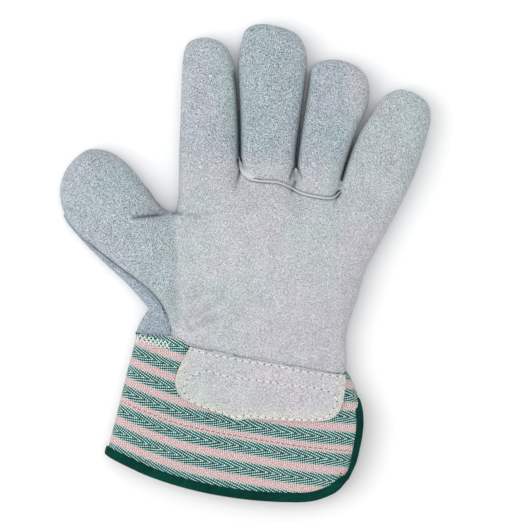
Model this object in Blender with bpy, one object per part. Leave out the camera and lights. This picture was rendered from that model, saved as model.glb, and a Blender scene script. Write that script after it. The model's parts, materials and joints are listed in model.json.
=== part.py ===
"""Left-hand leather work glove with a split safety cuff, lying on its back with the palm up.

Blender 4.5 script, metres, +Z up. X runs across the palm from the thumb to the little finger, Y runs from the
cuff to the fingertips, and the glove rests on the plane Z = 0. Every leather or cloth piece is a bent sheet that
Solidify turns into a closed solid. Each digit is cut at its two creases, and the cuff is cut from the palm at the
wrist crease, so that the pieces turn about empties that stand on the crease lines.
"""

import math
from typing import NamedTuple

import bmesh
import bpy
from mathutils import Matrix, Vector

MM = 0.001

# Material thicknesses and clearances
LEATHER = 1.3 * MM
LINING_CLOTH = 0.6 * MM
ELASTIC = 1.0 * MM
CUFF_CLOTH = 0.7 * MM
CUFF_CORE = 0.8 * MM
CUFF_LINING = 0.5 * MM
TAPE = 0.7 * MM
CLEARANCE = 0.35 * MM  # between two pieces that are sewn or lie on each other
CREASE_GAP = 1.2 * MM  # between the pieces on either side of a crease
SLACK = 0.2 * MM  # more room where a bent piece follows another one
SEAM_LIP = 1.4 * MM  # the upright edge of a shell along its side seam

# Heights above the table
SEAM_Z = 9.0 * MM  # the seams between palm side and back
KNUCKLE_TOP = 20.5 * MM
PALM_TOP = 26.0 * MM
WRIST_TOP = 19.5 * MM
THUMB_TOP = 21.0 * MM
PALM_BACK_Z = LEATHER + CLEARANCE  # the back of the hand lies on the knuckle strap

# Palm outline
THUMB_CREASE_X = -39.9 * MM
THUMB_CROTCH_Y = 28.6 * MM
HEEL_X = 54.8 * MM  # the little-finger side at the wrist
HEEL_WAIST = 10.0 * MM  # how far that side is drawn in above the wrist
WAIST_EXPONENT = 0.45  # puts the narrowest place low on the palm
MOUTH_ARCH = 0.86  # height of the thumb's mouth, as a share of the palm's rise
MOUTH_EXPONENT = 0.6  # how square the mouth is at its ends
MOUTH_INSET = 0.4  # share of an inset that is taken beside the mouth
WRIST_CENTRE = Vector((-1.6 * MM, -48.5 * MM, 0.0))
WRIST_TILT = math.radians(-10.3)

# Cuff, in its own frame: x across, y up the arm towards the wrist crease
CUFF_HALF_TOP = 58.4 * MM
CUFF_SIDE_LENGTH = 68.0 * MM
CUFF_BOW = 11.0 * MM  # how much longer the cuff is in the middle
CUFF_THUMB_FLARE = 4.2 * MM
CUFF_SPLIT_FLARE = 13.5 * MM
CUFF_TOP = 18.0 * MM
CUFF_FOLD = 20.0 * MM  # how far in the fold at the thumb side reaches
CUFF_CORNER = 26.0 * MM
SPLIT_START = 0.25  # share of the cuff's length above the split
FLAP_EDGE = 0.8  # how far the palm-side flap stays up at the split
TAPE_DEPTH = 5.6 * MM

# Sewn-on pieces
PATCH_LEFT, PATCH_RIGHT = -0.86, 0.86  # across the cuff, from -1 at the thumb fold to 1 at the split
PATCH_LENGTH = 34.0 * MM
PATCH_CORNER = 10.0 * MM
LINING_ACROSS, LINING_ALONG = (0.27, 0.74), (0.08, 0.92)  # shares of the palm that the lining covers
LINING_ROOM = 0.1  # how far the lining hangs under the leather, as a share of the palm's swell above the wrist
STRAP_LENGTH, STRAP_WIDTH = 84.0 * MM, 26.0 * MM
STRAP_MIDDLE = Vector((20.0 * MM, 14.0 * MM, 0.0))
STRAP_TILT = math.radians(-6.0)
ELASTIC_WIDTH = 9.0 * MM
ELASTIC_PLACE = 12.0 * MM  # above the wrist crease
ELASTIC_ENDS = (-24.0 * MM, 36.0 * MM)
WELT_RADIUS = 0.9 * MM
WELT_INSET = 2.4 * MM  # from the palm's edge to the middle of the welt
FORK_HEIGHT = 4.0 * MM  # the side strips between the fingers, at the crotch
FORK_REACH = 0.8  # how far up the lower finger they run
GUSSET_REACH = (0.26, 0.02)  # how far up the thumb's edge the corner of the back shows, outside and inside

SECTION = 2.5  # exponent of the superellipse across a digit
BACK_FLAT = 1.18  # how much of the underside lies flat
TIP_DOME = 0.62  # length of a fingertip's round end, as a share of its width
TIP_ANGLES = (8, 32, 52, 68, 80)  # rows of the round end, in degrees
TIP_EXPONENT = 0.8
THUMB_TIP_ANGLES = (0, 14, 30, 46, 60, 72, 82)
THUMB_TIP_EXPONENT = 0.85
ACROSS_DIGIT = 10
ACROSS_PALM, ALONG_PALM = 20, 8
ACROSS_LINING = 12
THUMB_ROWS = 4
CORNER_STEPS = 5


class Digit(NamedTuple):
    """A finger in plan, in millimetres: root is the middle of its base crease.

    lean is where the finger points and fold where its creases face, in degrees from +Y towards +X. forks names
    the sides, -1 towards the thumb and 1 away from it, that have a strip between front and back.
    """

    name: str
    root: tuple
    lean: float
    fold: float
    lower: float
    upper: float
    root_width: float
    crease_width: float
    tip_width: float
    forks: tuple


FINGERS = (
    Digit("index", (-18.7, 43.9), 0.0, 0.0, 42.0, 38.6, 31.6, 31.4, 30.6, (1,)),
    Digit("middle", (12.6, 44.4), 1.5, 0.0, 45.0, 42.6, 27.0, 31.6, 34.4, (-1, 1)),
    Digit("ring", (39.9, 42.7), 12.5, 6.0, 35.6, 34.4, 24.6, 30.0, 32.8, (-1, 1)),
    Digit("little", (68.8, 36.4), 20.0, 10.5, 31.0, 31.0, 28.6, 32.4, 32.8, (-1,)),
)
THUMB_ROOT_TOP = Vector((THUMB_CREASE_X, THUMB_CROTCH_Y, 0))
THUMB_ROOT_LOW = Vector((THUMB_CREASE_X, -37.0 * MM, 0))
THUMB_CREASE_TOP = Vector((-53.0 * MM, 40.5 * MM, 0))
THUMB_CREASE_LOW = Vector((-92.5 * MM, 17.6 * MM, 0))
THUMB_TIP = 36.0 * MM


# ---------------------------------------------------------------- helpers


def clear_scene():
    for obj in list(bpy.data.objects):
        bpy.data.objects.remove(obj)


def material(name, colour, roughness, metallic=0.0):
    made = bpy.data.materials.new(name)
    made.use_nodes = True
    shader = made.node_tree.nodes["Principled BSDF"]
    shader.inputs["Base Color"].default_value = (*colour, 1.0)
    shader.inputs["Roughness"].default_value = roughness
    shader.inputs["Metallic"].default_value = metallic
    return made


def mix(a, b, share):
    return a + (b - a) * share


def smooth(x):
    x = min(1.0, max(0.0, x))
    return x * x * (3 - 2 * x)


def power(x, exponent):
    """x to a power, keeping its sign."""
    return math.copysign(abs(x) ** exponent, x)


def section(steps):
    """Half a superellipse from one side over to the other: how far across, from -1 to 1, and how high, to 1."""
    points = []
    for step in range(steps + 1):
        angle = math.pi * step / steps
        lift = power(math.sin(angle), 2 / SECTION) if 0 < step < steps else 0.0
        points.append((-power(math.cos(angle), 2 / SECTION), lift))
    return points


def rise_to(side, top, bottom, share):
    """Height of a point on the palm side (side 1) or on the flat-bottomed back (side -1), above the lip."""
    edge = SEAM_Z + side * (CLEARANCE / 2 + SEAM_LIP)
    return mix(edge, top, share) if side > 0 else mix(edge, bottom, min(1.0, BACK_FLAT * share))


def with_lip(side, row):
    """A row with an upright edge down to the side seam at both ends."""
    drop = Vector((0.0, 0.0, side * SEAM_LIP))
    return [row[0] - drop] + row + [row[-1] - drop]


def half_section(side, steps, place):
    """A row of points. place turns (across, lift) into a point, and the row gets an upright lip at both ends."""
    return with_lip(side, [place(across, lift) for across, lift in section(steps)])


def sheet(name, rows, thickness, look, parent, facing, tip=None):
    """A solid sheet through rows of points, closed at the end by the two points of its tip, if it has one.

    facing is a function from a point to the way that its outside faces.
    """
    bm = bmesh.new()
    grid = [[bm.verts.new(point) for point in row] for row in rows]
    for low, high in zip(grid, grid[1:]):
        for k in range(len(low) - 1):
            bm.faces.new((low[k], low[k + 1], high[k + 1], high[k]))
    if tip is not None:
        last = grid[-1]
        low, high = (bm.verts.new(point) for point in tip)
        bm.faces.new((last[0], last[1], high, low))
        bm.faces.new((last[-2], last[-1], low, high))
        for k in range(1, len(last) - 2):
            bm.faces.new((last[k], last[k + 1], high))
    bm.normal_update()
    outward = sum(f.normal.dot(facing(f.calc_center_median())) * f.calc_area() for f in bm.faces)
    if outward < 0:
        bmesh.ops.reverse_faces(bm, faces=bm.faces)
    mesh = bpy.data.meshes.new(name)
    bm.to_mesh(mesh)
    bm.free()
    mesh.shade_smooth()
    mesh.materials.append(look)
    obj = bpy.data.objects.new(name, mesh)
    bpy.context.scene.collection.objects.link(obj)
    obj.parent = parent
    wall = obj.modifiers.new("wall", "SOLIDIFY")
    wall.thickness = thickness
    wall.offset = -1.0
    wall.use_even_offset = True
    wall.use_rim = True
    return obj


def axis_empty(name, place, turn, parent):
    """An empty on a crease: its X runs along the crease, and its Y away from the parent piece."""
    empty = bpy.data.objects.new(name, None)
    bpy.context.scene.collection.objects.link(empty)
    empty.empty_display_size = 0.01
    empty.parent = parent
    empty.location = place
    empty.rotation_euler = (0.0, 0.0, turn)
    return empty


def up_or_down(side):
    return lambda point: Vector((0.0, 0.0, side))


# ---------------------------------------------------------------- fingers


def tip_stations(start, length, width):
    """How far along each row of a rounded fingertip lies, and the share of the width that it keeps."""
    dome = TIP_DOME * width
    straight = length - dome
    stations = [(start, 1.0), (mix(start, straight, 0.6), 1.0)]
    for angle in TIP_ANGLES:
        reach = math.sin(math.radians(angle))
        stations.append((straight + dome * reach, power(math.cos(math.radians(angle)), TIP_EXPONENT)))
    return stations


def tip_points(side, end):
    """Both ends of the lip at a fingertip, on the seam and above it. end is the tip, on the table."""
    return [end + Vector((0.0, 0.0, SEAM_Z + side * (CLEARANCE / 2 + rise))) for rise in (0.0, SEAM_LIP)]


def finger_row(side, digit, along, width, share, tilt, fork):
    """One half section of a finger, in the frame of its crease empty."""
    skew = math.radians(digit.lean - digit.fold)
    centre = Vector((math.tan(skew) * along, along, 0.0))
    across_dir = Vector((math.cos(skew * tilt), -math.sin(skew * tilt), 0.0))

    def place(across, lift):
        z = rise_to(side, KNUCKLE_TOP, 0.0, lift * share) - KNUCKLE_TOP
        if (across > 0) - (across < 0) in digit.forks:
            z += side * fork * max(0.0, 1 - BACK_FLAT * lift)
        return centre + across_dir * across * width / 2 * share + Vector((0.0, 0.0, z))

    return half_section(side, ACROSS_DIGIT, place)


def build_fork(digit, side, widths, start, length, base, look):
    """The strip between front and back along one side of the lower finger, narrowing towards the crease."""
    skew = math.tan(math.radians(digit.lean - digit.fold))
    rows = []
    for share in (0.0, FORK_REACH / 2, FORK_REACH):
        along = mix(start, length, share)
        half = FORK_HEIGHT / 2 * (1 - share) - CLEARANCE / 2
        width = mix(widths[0], widths[1], share)
        x = skew * along + side * width / 2
        rows.append([Vector((x, along, SEAM_Z - KNUCKLE_TOP + z)) for z in (-half, half)])
    word = "little_side" if side > 0 else "thumb_side"
    sheet(f"{digit.name}_fork_{word}", rows, LEATHER, look, base, lambda point: Vector((side, 0.0, 0.0)))


def build_finger(digit, palm, look):
    """Lower and upper shells of a finger, on the palm side and on the back, and its forks."""
    root = Vector((digit.root[0] * MM, digit.root[1] * MM, KNUCKLE_TOP))
    lower, upper = digit.lower * MM, digit.upper * MM
    widths = [w * MM for w in (digit.root_width, digit.crease_width, digit.tip_width)]
    skew = math.radians(digit.lean - digit.fold)
    base = axis_empty(digit.name + "_base_crease", root, math.radians(-digit.fold), palm)
    middle = axis_empty(digit.name + "_middle_crease", Vector((math.tan(skew) * lower, lower, 0)), 0.0, base)
    start, end = CREASE_GAP / 2, lower - CREASE_GAP / 2
    stations = tip_stations(start, upper, widths[2])
    for side, word in ((1, "front"), (-1, "back")):
        rows = []
        for share in (0.0, 0.5, 1.0):
            along = mix(start, end, share)
            width = mix(widths[0], widths[1], share)
            rows.append(finger_row(side, digit, along, width, 1.0, 0.0, FORK_HEIGHT / 2 * (1 - share)))
        sheet(f"{digit.name}_{word}_lower", rows, LEATHER, look, base, up_or_down(side))
        rows = []
        for along, share in stations:
            reach = smooth((along - start) / (stations[2][0] - start))
            rows.append(finger_row(side, digit, along, mix(widths[1], widths[2], reach), share, reach, 0.0))
        tip = tip_points(side, Vector((math.tan(skew) * upper, upper, -KNUCKLE_TOP)))
        sheet(f"{digit.name}_{word}_upper", rows, LEATHER, look, middle, up_or_down(side), tip)
    for side in digit.forks:
        build_fork(digit, side, widths, start, end, base, look)


# ---------------------------------------------------------------- palm and back of the hand


def wrist_y(x):
    return WRIST_CENTRE.y + (x - WRIST_CENTRE.x) * math.tan(WRIST_TILT)


def base_corners():
    """Both ends of each finger's base crease, from the index finger to the little finger."""
    corners = []
    for digit in FINGERS:
        fold = math.radians(digit.fold)
        across = Vector((math.cos(fold), -math.sin(fold), 0)) * digit.root_width * MM / 2
        root = Vector((digit.root[0] * MM, digit.root[1] * MM, 0))
        corners += [root - across, root + across]
    return corners


def knuckle_y(x):
    """The line through the finger bases, a crease gap short of them."""
    corners = base_corners()
    if x <= corners[0].x:
        return corners[0].y - CREASE_GAP
    for a, b in zip(corners, corners[1:]):
        if x <= b.x:
            return mix(a.y, b.y, (x - a.x) / (b.x - a.x)) - CREASE_GAP
    return corners[-1].y - CREASE_GAP


def palm_limits(v):
    """Left and right X of the palm at v, from 0 at the wrist to 1 at the knuckles."""
    corners = base_corners()
    crease_x = THUMB_CREASE_X + CREASE_GAP / 2
    crotch = (THUMB_CROTCH_Y - wrist_y(crease_x)) / (corners[0].y - wrist_y(crease_x))
    left = mix(crease_x, corners[0].x, smooth((v - crotch) / (1 - crotch)))
    right = mix(HEEL_X, corners[-1].x, v) - HEEL_WAIST * math.sin(math.pi * v**WAIST_EXPONENT)
    return left, right, crotch


def palm_point(side, u, v, inset=0.0):
    """A point of the palm or back sheet. u runs from the thumb crease to the little-finger side."""
    left, right, crotch = palm_limits(v)
    angle = math.pi * u
    across = (1 - power(math.cos(angle), 2 / SECTION)) / 2
    arch = power(max(0.0, math.sin(angle)), 2 / SECTION)
    if u < 0.5 and v < crotch:  # open into the thumb
        mouth = max(0.0, math.sin(math.pi * v / crotch)) ** MOUTH_EXPONENT
        arch = mix(MOUTH_ARCH * mouth, 1.0, arch) if mouth > arch else arch
        arch = max(arch, MOUTH_ARCH * mouth)
    x = mix(left, right - inset, across) + inset * (1 - across) * (1 if v > crotch else MOUTH_INSET)
    y = mix(wrist_y(x) + CREASE_GAP, knuckle_y(x), v)
    swell = math.sin(math.pi * min(1.0, max(0.0, v)))
    top = mix(mix(WRIST_TOP, KNUCKLE_TOP, v), PALM_TOP, swell)
    z = rise_to(side, top - inset, PALM_BACK_Z + inset, arch)
    return Vector((x, y, z))


def palm_rows(side, u_range, v_range, inset, across=ACROSS_PALM, along=ALONG_PALM):
    return [
        [palm_point(side, mix(*u_range, k / across), mix(*v_range, j / along), inset) for k in range(across + 1)]
        for j in range(along + 1)
    ]


def build_hand(palm, leather, cotton, rubber, welt):
    whole = (0.0, 1.0)
    for side, name in ((1, "palm_front"), (-1, "hand_back")):
        rows = [with_lip(side, row) for row in palm_rows(side, whole, whole, 0.0)]
        sheet(name, rows, LEATHER, leather, palm, up_or_down(side))
    under = LEATHER + CLEARANCE
    room = LINING_ROOM * (PALM_TOP - WRIST_TOP)
    lining = palm_rows(1, LINING_ACROSS, LINING_ALONG, under + room, ACROSS_LINING)
    sheet("palm_lining", lining, LINING_CLOTH, cotton, palm, up_or_down(1))
    band = []
    for above in (ELASTIC_PLACE, ELASTIC_PLACE + ELASTIC_WIDTH):
        band.append([Vector((x, wrist_y(x) + above, PALM_BACK_Z + under)) for x in ELASTIC_ENDS])
    sheet("wrist_elastic", band, ELASTIC, rubber, palm, up_or_down(-1))
    build_strap(palm, leather)
    build_gusset(palm, leather)
    build_welt(palm, welt)


def build_strap(palm, look):
    """The strap across the back of the hand, under the knuckles. The glove rests on it."""
    tilt = Matrix.Rotation(STRAP_TILT, 3, "Z")
    rows = [
        [STRAP_MIDDLE + tilt @ Vector((x * STRAP_LENGTH / 2, y * STRAP_WIDTH / 2, 0.0)) for x in (-1, 0, 1)]
        for y in (-1, 1)
    ]
    sheet("knuckle_strap", rows, LEATHER, look, palm, up_or_down(-1))


def build_gusset(palm, look):
    """The corner of the back that shows beside the thumb, above the cuff."""
    inner = THUMB_CREASE_X - 2 * CREASE_GAP
    outer = WRIST_CENTRE.x - CUFF_HALF_TOP * math.cos(WRIST_TILT)
    along = (THUMB_CREASE_LOW - THUMB_ROOT_LOW).normalized()
    inward = Vector((along.y, -along.x, 0.0)) * CREASE_GAP
    low, high = [], []
    for share in (0.0, 0.5, 1.0):
        x = mix(outer, inner, share)
        low.append(Vector((x, wrist_y(x) + CREASE_GAP, PALM_BACK_Z)))
        edge = mix(THUMB_ROOT_LOW, THUMB_CREASE_LOW, mix(*GUSSET_REACH, share)) - inward
        high.append(Vector((edge.x, edge.y, PALM_BACK_Z)))
    sheet("thumb_side_gusset", [low, high], LEATHER, look, palm, up_or_down(-1))


def across_at(x, v):
    """The u at which the palm reaches x in the row at v, by halving."""
    low, high = 0.0, 1.0
    for _ in range(20):
        middle = (low + high) / 2
        if palm_point(1, middle, v).x < x:
            low = middle
        else:
            high = middle
    return low


def build_welt(palm, look):
    """The leather welt in the seam at the base of the two middle fingers, as a bent rod on the palm."""
    corners = base_corners()
    v = 1 - WELT_INSET / (corners[0].y - wrist_y(0.0))
    start, end = across_at(corners[2].x, v), across_at(corners[5].x, v)
    curve = bpy.data.curves.new("finger_base_welt", "CURVE")
    curve.dimensions = "3D"
    curve.bevel_depth = WELT_RADIUS
    curve.bevel_resolution = 1
    curve.use_fill_caps = True
    spline = curve.splines.new("POLY")
    count = 12
    spline.points.add(count)
    for k in range(count + 1):
        point = palm_point(1, mix(start, end, k / count), v)
        spline.points[k].co = (point.x, point.y, point.z + WELT_RADIUS + 2 * CLEARANCE, 1.0)
    curve.materials.append(look)
    obj = bpy.data.objects.new("finger_base_welt", curve)
    bpy.context.scene.collection.objects.link(obj)
    obj.parent = palm


# ---------------------------------------------------------------- thumb


def thumb_rows(side, origin, turn, ends):
    """Rows between two creases, as points in the frame of the crease empty at origin."""
    back = Matrix.Rotation(-turn, 3, "Z")
    rows = []
    for j in range(THUMB_ROWS + 1):
        share = j / THUMB_ROWS
        a, b = mix(ends[0][0], ends[1][0], share), mix(ends[0][1], ends[1][1], share)

        def place(across, lift, a=a, b=b):
            point = mix(a, b, (across + 1) / 2)
            point = Vector((point.x, point.y, rise_to(side, THUMB_TOP, 0.0, lift)))
            return back @ (point - origin)

        rows.append(half_section(side, ACROSS_DIGIT, place))
    return rows


def thumb_tip_rows(side, width):
    """Rows of the thumb's round tip, in the frame of its crease empty."""
    rows = []
    for angle in THUMB_TIP_ANGLES:
        along = THUMB_TIP * math.sin(math.radians(angle))
        share = power(math.cos(math.radians(angle)), THUMB_TIP_EXPONENT)

        def place(across, lift, along=along, share=share):
            z = rise_to(side, THUMB_TOP, 0.0, lift * share) - THUMB_TOP
            return Vector((across * width / 2 * share, along + CREASE_GAP / 2, z))

        rows.append(half_section(side, ACROSS_DIGIT, place))
    return rows, tip_points(side, Vector((0.0, THUMB_TIP + CREASE_GAP / 2, -THUMB_TOP)))


def build_thumb(palm, look):
    """Lower and upper shells of the thumb, on empties at its two creases."""
    root = mix(THUMB_ROOT_TOP, THUMB_ROOT_LOW, 0.5)
    root.z = THUMB_TOP
    root_turn = math.radians(90.0)
    base = axis_empty("thumb_base_crease", root, root_turn, palm)
    middle = mix(THUMB_CREASE_TOP, THUMB_CREASE_LOW, 0.5)
    middle.z = THUMB_TOP
    along = THUMB_CREASE_TOP - THUMB_CREASE_LOW
    tip_turn = math.atan2(along.y, along.x)
    back = Matrix.Rotation(-root_turn, 3, "Z")
    joint = axis_empty("thumb_tip_crease", back @ (middle - root), tip_turn - root_turn, base)
    away = Vector((-along.y, along.x, 0.0)).normalized()
    gap = CREASE_GAP / 2
    from_palm = Vector((-gap, 0.0, 0.0))
    ends = (
        (THUMB_ROOT_LOW + from_palm, THUMB_ROOT_TOP + from_palm),
        (THUMB_CREASE_LOW - away * gap, THUMB_CREASE_TOP - away * gap),
    )
    for side, word in ((1, "front"), (-1, "back")):
        rows = thumb_rows(side, root, root_turn, ends)
        sheet(f"thumb_{word}_lower", rows, LEATHER, look, base, up_or_down(side))
        rows, tip = thumb_tip_rows(side, along.length)
        sheet(f"thumb_{word}_upper", rows, LEATHER, look, joint, up_or_down(side), tip)


# ---------------------------------------------------------------- cuff


CUFF_BUILD = CUFF_CLOTH + CLEARANCE + CUFF_CORE + CLEARANCE + CUFF_LINING
CUFF_LOW = TAPE + CLEARANCE + SLACK  # the cuff's underside stands on the binding


def corner_shares():
    """Where the rounded corner begins, across the cuff and along it."""
    across = 1 - 2 * CUFF_CORNER / (2 * CUFF_HALF_TOP + CUFF_SPLIT_FLARE)
    along = 1 - CUFF_CORNER / (CUFF_SIDE_LENGTH + CUFF_BOW / 2)
    return across, along


def cuff_rows_t():
    """Shares of the cuff's length for its rows: to the split, down to the corner, and round it."""
    _, corner = corner_shares()
    rows = [0.0, SPLIT_START / 2, SPLIT_START, mix(SPLIT_START, corner, 0.5)]
    return rows + [corner + (1 - corner) * math.sin(math.pi / 2 * k / CORNER_STEPS) for k in range(CORNER_STEPS + 1)]


def split_edge(t):
    """How far across a row reaches before the rounded corner cuts it."""
    across, along = corner_shares()
    if t <= along:
        return 1.0
    return across + (1 - across) * math.sqrt(max(0.0, 1 - ((t - along) / (1 - along)) ** 2))


def cuff_point(side, across, t, inset):
    """A point of the cuff, inset from its outside. across runs from -1 at the thumb fold to 1 at the split.

    Values below -1 lie on the fold itself: -2 is the point farthest out, halfway between palm side and back.
    """
    flare = 1 - (1 - min(1.0, t / 0.5)) ** 2
    outer = -CUFF_HALF_TOP - CUFF_THUMB_FLARE * t
    right = CUFF_HALF_TOP + CUFF_SPLIT_FLARE * flare
    turn = math.pi / 2 * min(1.0, across + 2)
    flat = max(0.0, (across + 1) / 2)
    x = outer + inset + (CUFF_FOLD - inset) * (1 - math.cos(turn))
    x = mix(x, right, flat) if across > -1 else x
    bow = 1 - (2 * (x - outer) / (right - outer) - 1) ** 2
    y = -t * (CUFF_SIDE_LENGTH + CUFF_BOW * bow) - CREASE_GAP / 2
    droop = smooth((flat - 0.6) / 0.4)
    spread = smooth((t - SPLIT_START) / 0.3)
    if side > 0:
        rise = (CUFF_TOP - SEAM_Z) * (1 - droop * (1 - mix(0.5, FLAP_EDGE, spread)))
        return Vector((x, y, SEAM_Z + (rise - inset) * math.sin(turn)))
    drop = (SEAM_Z - CUFF_LOW) * (1 - droop * (1 - mix(0.5, 1.0, spread)))
    return Vector((x, y, SEAM_Z - (drop - inset) * math.sin(turn)))


def section_steps(limit):
    """Side and place across of each point round the cuff, from one split edge over the fold to the other."""
    flat = [mix(-1.0, limit, k / 5) for k in range(5, 0, -1)]
    half = flat + [-1.0, -1.3, -1.55, -1.8]
    return [(1, a) for a in half] + [(1, -2.0)] + [(-1, a) for a in reversed(half)]


def cuff_layer(name, inset, thickness, look, cuff):
    rows = []
    for t in cuff_rows_t():
        rows.append([cuff_point(side, across, t, inset) for side, across in section_steps(split_edge(t))])
    sheet(name, rows, thickness, look, cuff, lambda p: Vector((0, 0, p.z - SEAM_Z)))


def tape_path():
    """Stations along the bound edge, each a function of the depth inside the edge."""
    across, along = corner_shares()
    width = 2 * CUFF_HALF_TOP + CUFF_SPLIT_FLARE
    length = CUFF_SIDE_LENGTH + CUFF_BOW / 2
    stations = []
    for side in (1, -1):
        part = []
        for t in (SPLIT_START, mix(SPLIT_START, along, 0.5)):
            part.append(lambda d, t=t, side=side: (side, 1 - 2 * d / width, t))
        for k in range(CORNER_STEPS + 1):
            angle = math.pi / 2 * k / CORNER_STEPS
            reach, drop = (1 - across) * math.cos(angle), (1 - along) * math.sin(angle)

            def station(d, reach=reach, drop=drop, angle=angle, side=side):
                s = across + reach - 2 * d / width * math.cos(angle)
                return side, s, along + drop - d / length * math.sin(angle)

            part.append(station)
        for _, a in section_steps(across)[1:9]:
            part.append(lambda d, a=a, side=side: (side, a, 1 - d / length))
        stations += part if side > 0 else [lambda d: (1, -2.0, 1 - d / length)] + part[::-1]
    return stations


def build_binding(cuff, look):
    """The tape folded over the cuff's free edges, as a U section swept along them."""
    depth, over = TAPE_DEPTH, CLEARANCE + SLACK + TAPE
    outer, inner = -over, CUFF_BUILD + over
    profile = [
        (depth, outer),
        (-over, outer),
        (-over, inner),
        (depth, inner),
        (depth, inner - TAPE),
        (-CLEARANCE, inner - TAPE),
        (-CLEARANCE, outer + TAPE),
        (depth, outer + TAPE),
    ]
    bm = bmesh.new()
    rings = []
    for station in tape_path():
        rings.append([bm.verts.new(cuff_point(*station(d), n)) for d, n in profile])
    count = len(profile)
    for low, high in zip(rings, rings[1:]):
        for k in range(count):
            bm.faces.new((low[k], low[(k + 1) % count], high[(k + 1) % count], high[k]))
    for ring in (rings[0], rings[-1]):
        for quad in ((0, 1, 6, 7), (1, 2, 5, 6), (2, 3, 4, 5)):
            bm.faces.new([ring[i] for i in quad])
    bmesh.ops.recalc_face_normals(bm, faces=bm.faces)
    mesh = bpy.data.meshes.new("cuff_binding")
    bm.to_mesh(mesh)
    bm.free()
    mesh.materials.append(look)
    obj = bpy.data.objects.new("cuff_binding", mesh)
    bpy.context.scene.collection.objects.link(obj)
    obj.parent = cuff


def build_patch(cuff, look):
    """The leather patch sewn over the palm-side face of the cuff, with rounded corners."""
    width = 2 * CUFF_HALF_TOP + CUFF_SPLIT_FLARE
    length = CUFF_SIDE_LENGTH + CUFF_BOW
    t_end = PATCH_LENGTH / length
    corner_t, corner_s = PATCH_CORNER / length, 2 * PATCH_CORNER / width
    rows = []
    angles = [math.pi / 2 * k / 4 for k in range(5)]
    upper = [corner_t * (1 - math.cos(a)) for a in angles]
    shares = [(t, 1 - math.sin(a)) for t, a in zip(upper, angles)]
    shares += [(t_end - t, bite) for t, bite in reversed(shares)]
    for t, bite in shares:
        left, right = PATCH_LEFT + corner_s * bite, PATCH_RIGHT - corner_s * bite
        row = []
        for k in range(13):
            row.append(cuff_point(1, mix(left, right, k / 12), t, -(CLEARANCE + SLACK + LEATHER)))
        rows.append(row)
    sheet("wrist_patch", rows, LEATHER, look, cuff, up_or_down(1))


def build_cuff(palm, striped, core, cotton, tape, leather):
    crease_z = CUFF_TOP + 2 * CLEARANCE + LEATHER
    place = WRIST_CENTRE + Vector((0.0, 0.0, crease_z))
    crease = axis_empty("wrist_crease", place, WRIST_TILT, palm)
    cuff = axis_empty("cuff", Vector((0.0, 0.0, -crease_z)), 0.0, crease)
    cuff_layer("cuff_cloth", 0.0, CUFF_CLOTH, striped, cuff)
    cuff_layer("cuff_core", CUFF_CLOTH + CLEARANCE, CUFF_CORE, core, cuff)
    cuff_layer("cuff_lining", CUFF_CLOTH + CUFF_CORE + 2 * CLEARANCE, CUFF_LINING, cotton, cuff)
    build_binding(cuff, tape)
    build_patch(cuff, leather)


# ---------------------------------------------------------------- the glove


def centre_on_table(palm):
    """Puts the frame's origin under the middle of the glove's box."""
    bpy.context.view_layer.update()
    graph = bpy.context.evaluated_depsgraph_get()
    points = []
    for obj in bpy.context.scene.objects:
        if obj.type in ("MESH", "CURVE"):
            shown = obj.evaluated_get(graph)
            points += [shown.matrix_world @ v.co for v in shown.to_mesh().vertices]
    low = Vector([min(p[k] for p in points) for k in range(3)])
    high = Vector([max(p[k] for p in points) for k in range(3)])
    palm.location = Vector((-(low.x + high.x) / 2, -(low.y + high.y) / 2, -low.z))
    bpy.context.view_layer.update()


def main():
    clear_scene()
    leather = material("split_leather", (0.48, 0.53, 0.56), 0.9)
    pale = material("welt_leather", (0.62, 0.66, 0.66), 0.85)
    striped = material("striped_canvas", (0.12, 0.42, 0.38), 0.85)
    core = material("rubberised_core", (0.30, 0.29, 0.27), 0.7)
    cotton = material("cotton_lining", (0.72, 0.69, 0.62), 0.95)
    elastic = material("elastic", (0.75, 0.74, 0.70), 0.8)
    tape = material("green_tape", (0.005, 0.075, 0.065), 0.75)
    palm = axis_empty("palm", Vector((0.0, 0.0, 0.0)), 0.0, None)
    build_hand(palm, leather, cotton, elastic, pale)
    for digit in FINGERS:
        build_finger(digit, palm, leather)
    build_thumb(palm, leather)
    build_cuff(palm, striped, core, cotton, tape, leather)
    centre_on_table(palm)


main()
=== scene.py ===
"""Looks of a left-hand work glove in split leather, with a striped canvas safety cuff.

The glove lies on its back with the palm up. X runs across the palm from the thumb to the little finger, Y
runs from the cuff to the fingertips, and the table is the plane Z = 0. Outlines are in millimetres.
Each leather skin is one smooth surface at first, which gets its folds, and is then cut into pieces. The
palm's piece rides on its body; the others have their place baked in and are not bent between the bodies.
"""

import json
import math

import bmesh
import bpy
import numpy as np
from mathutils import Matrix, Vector, noise

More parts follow.
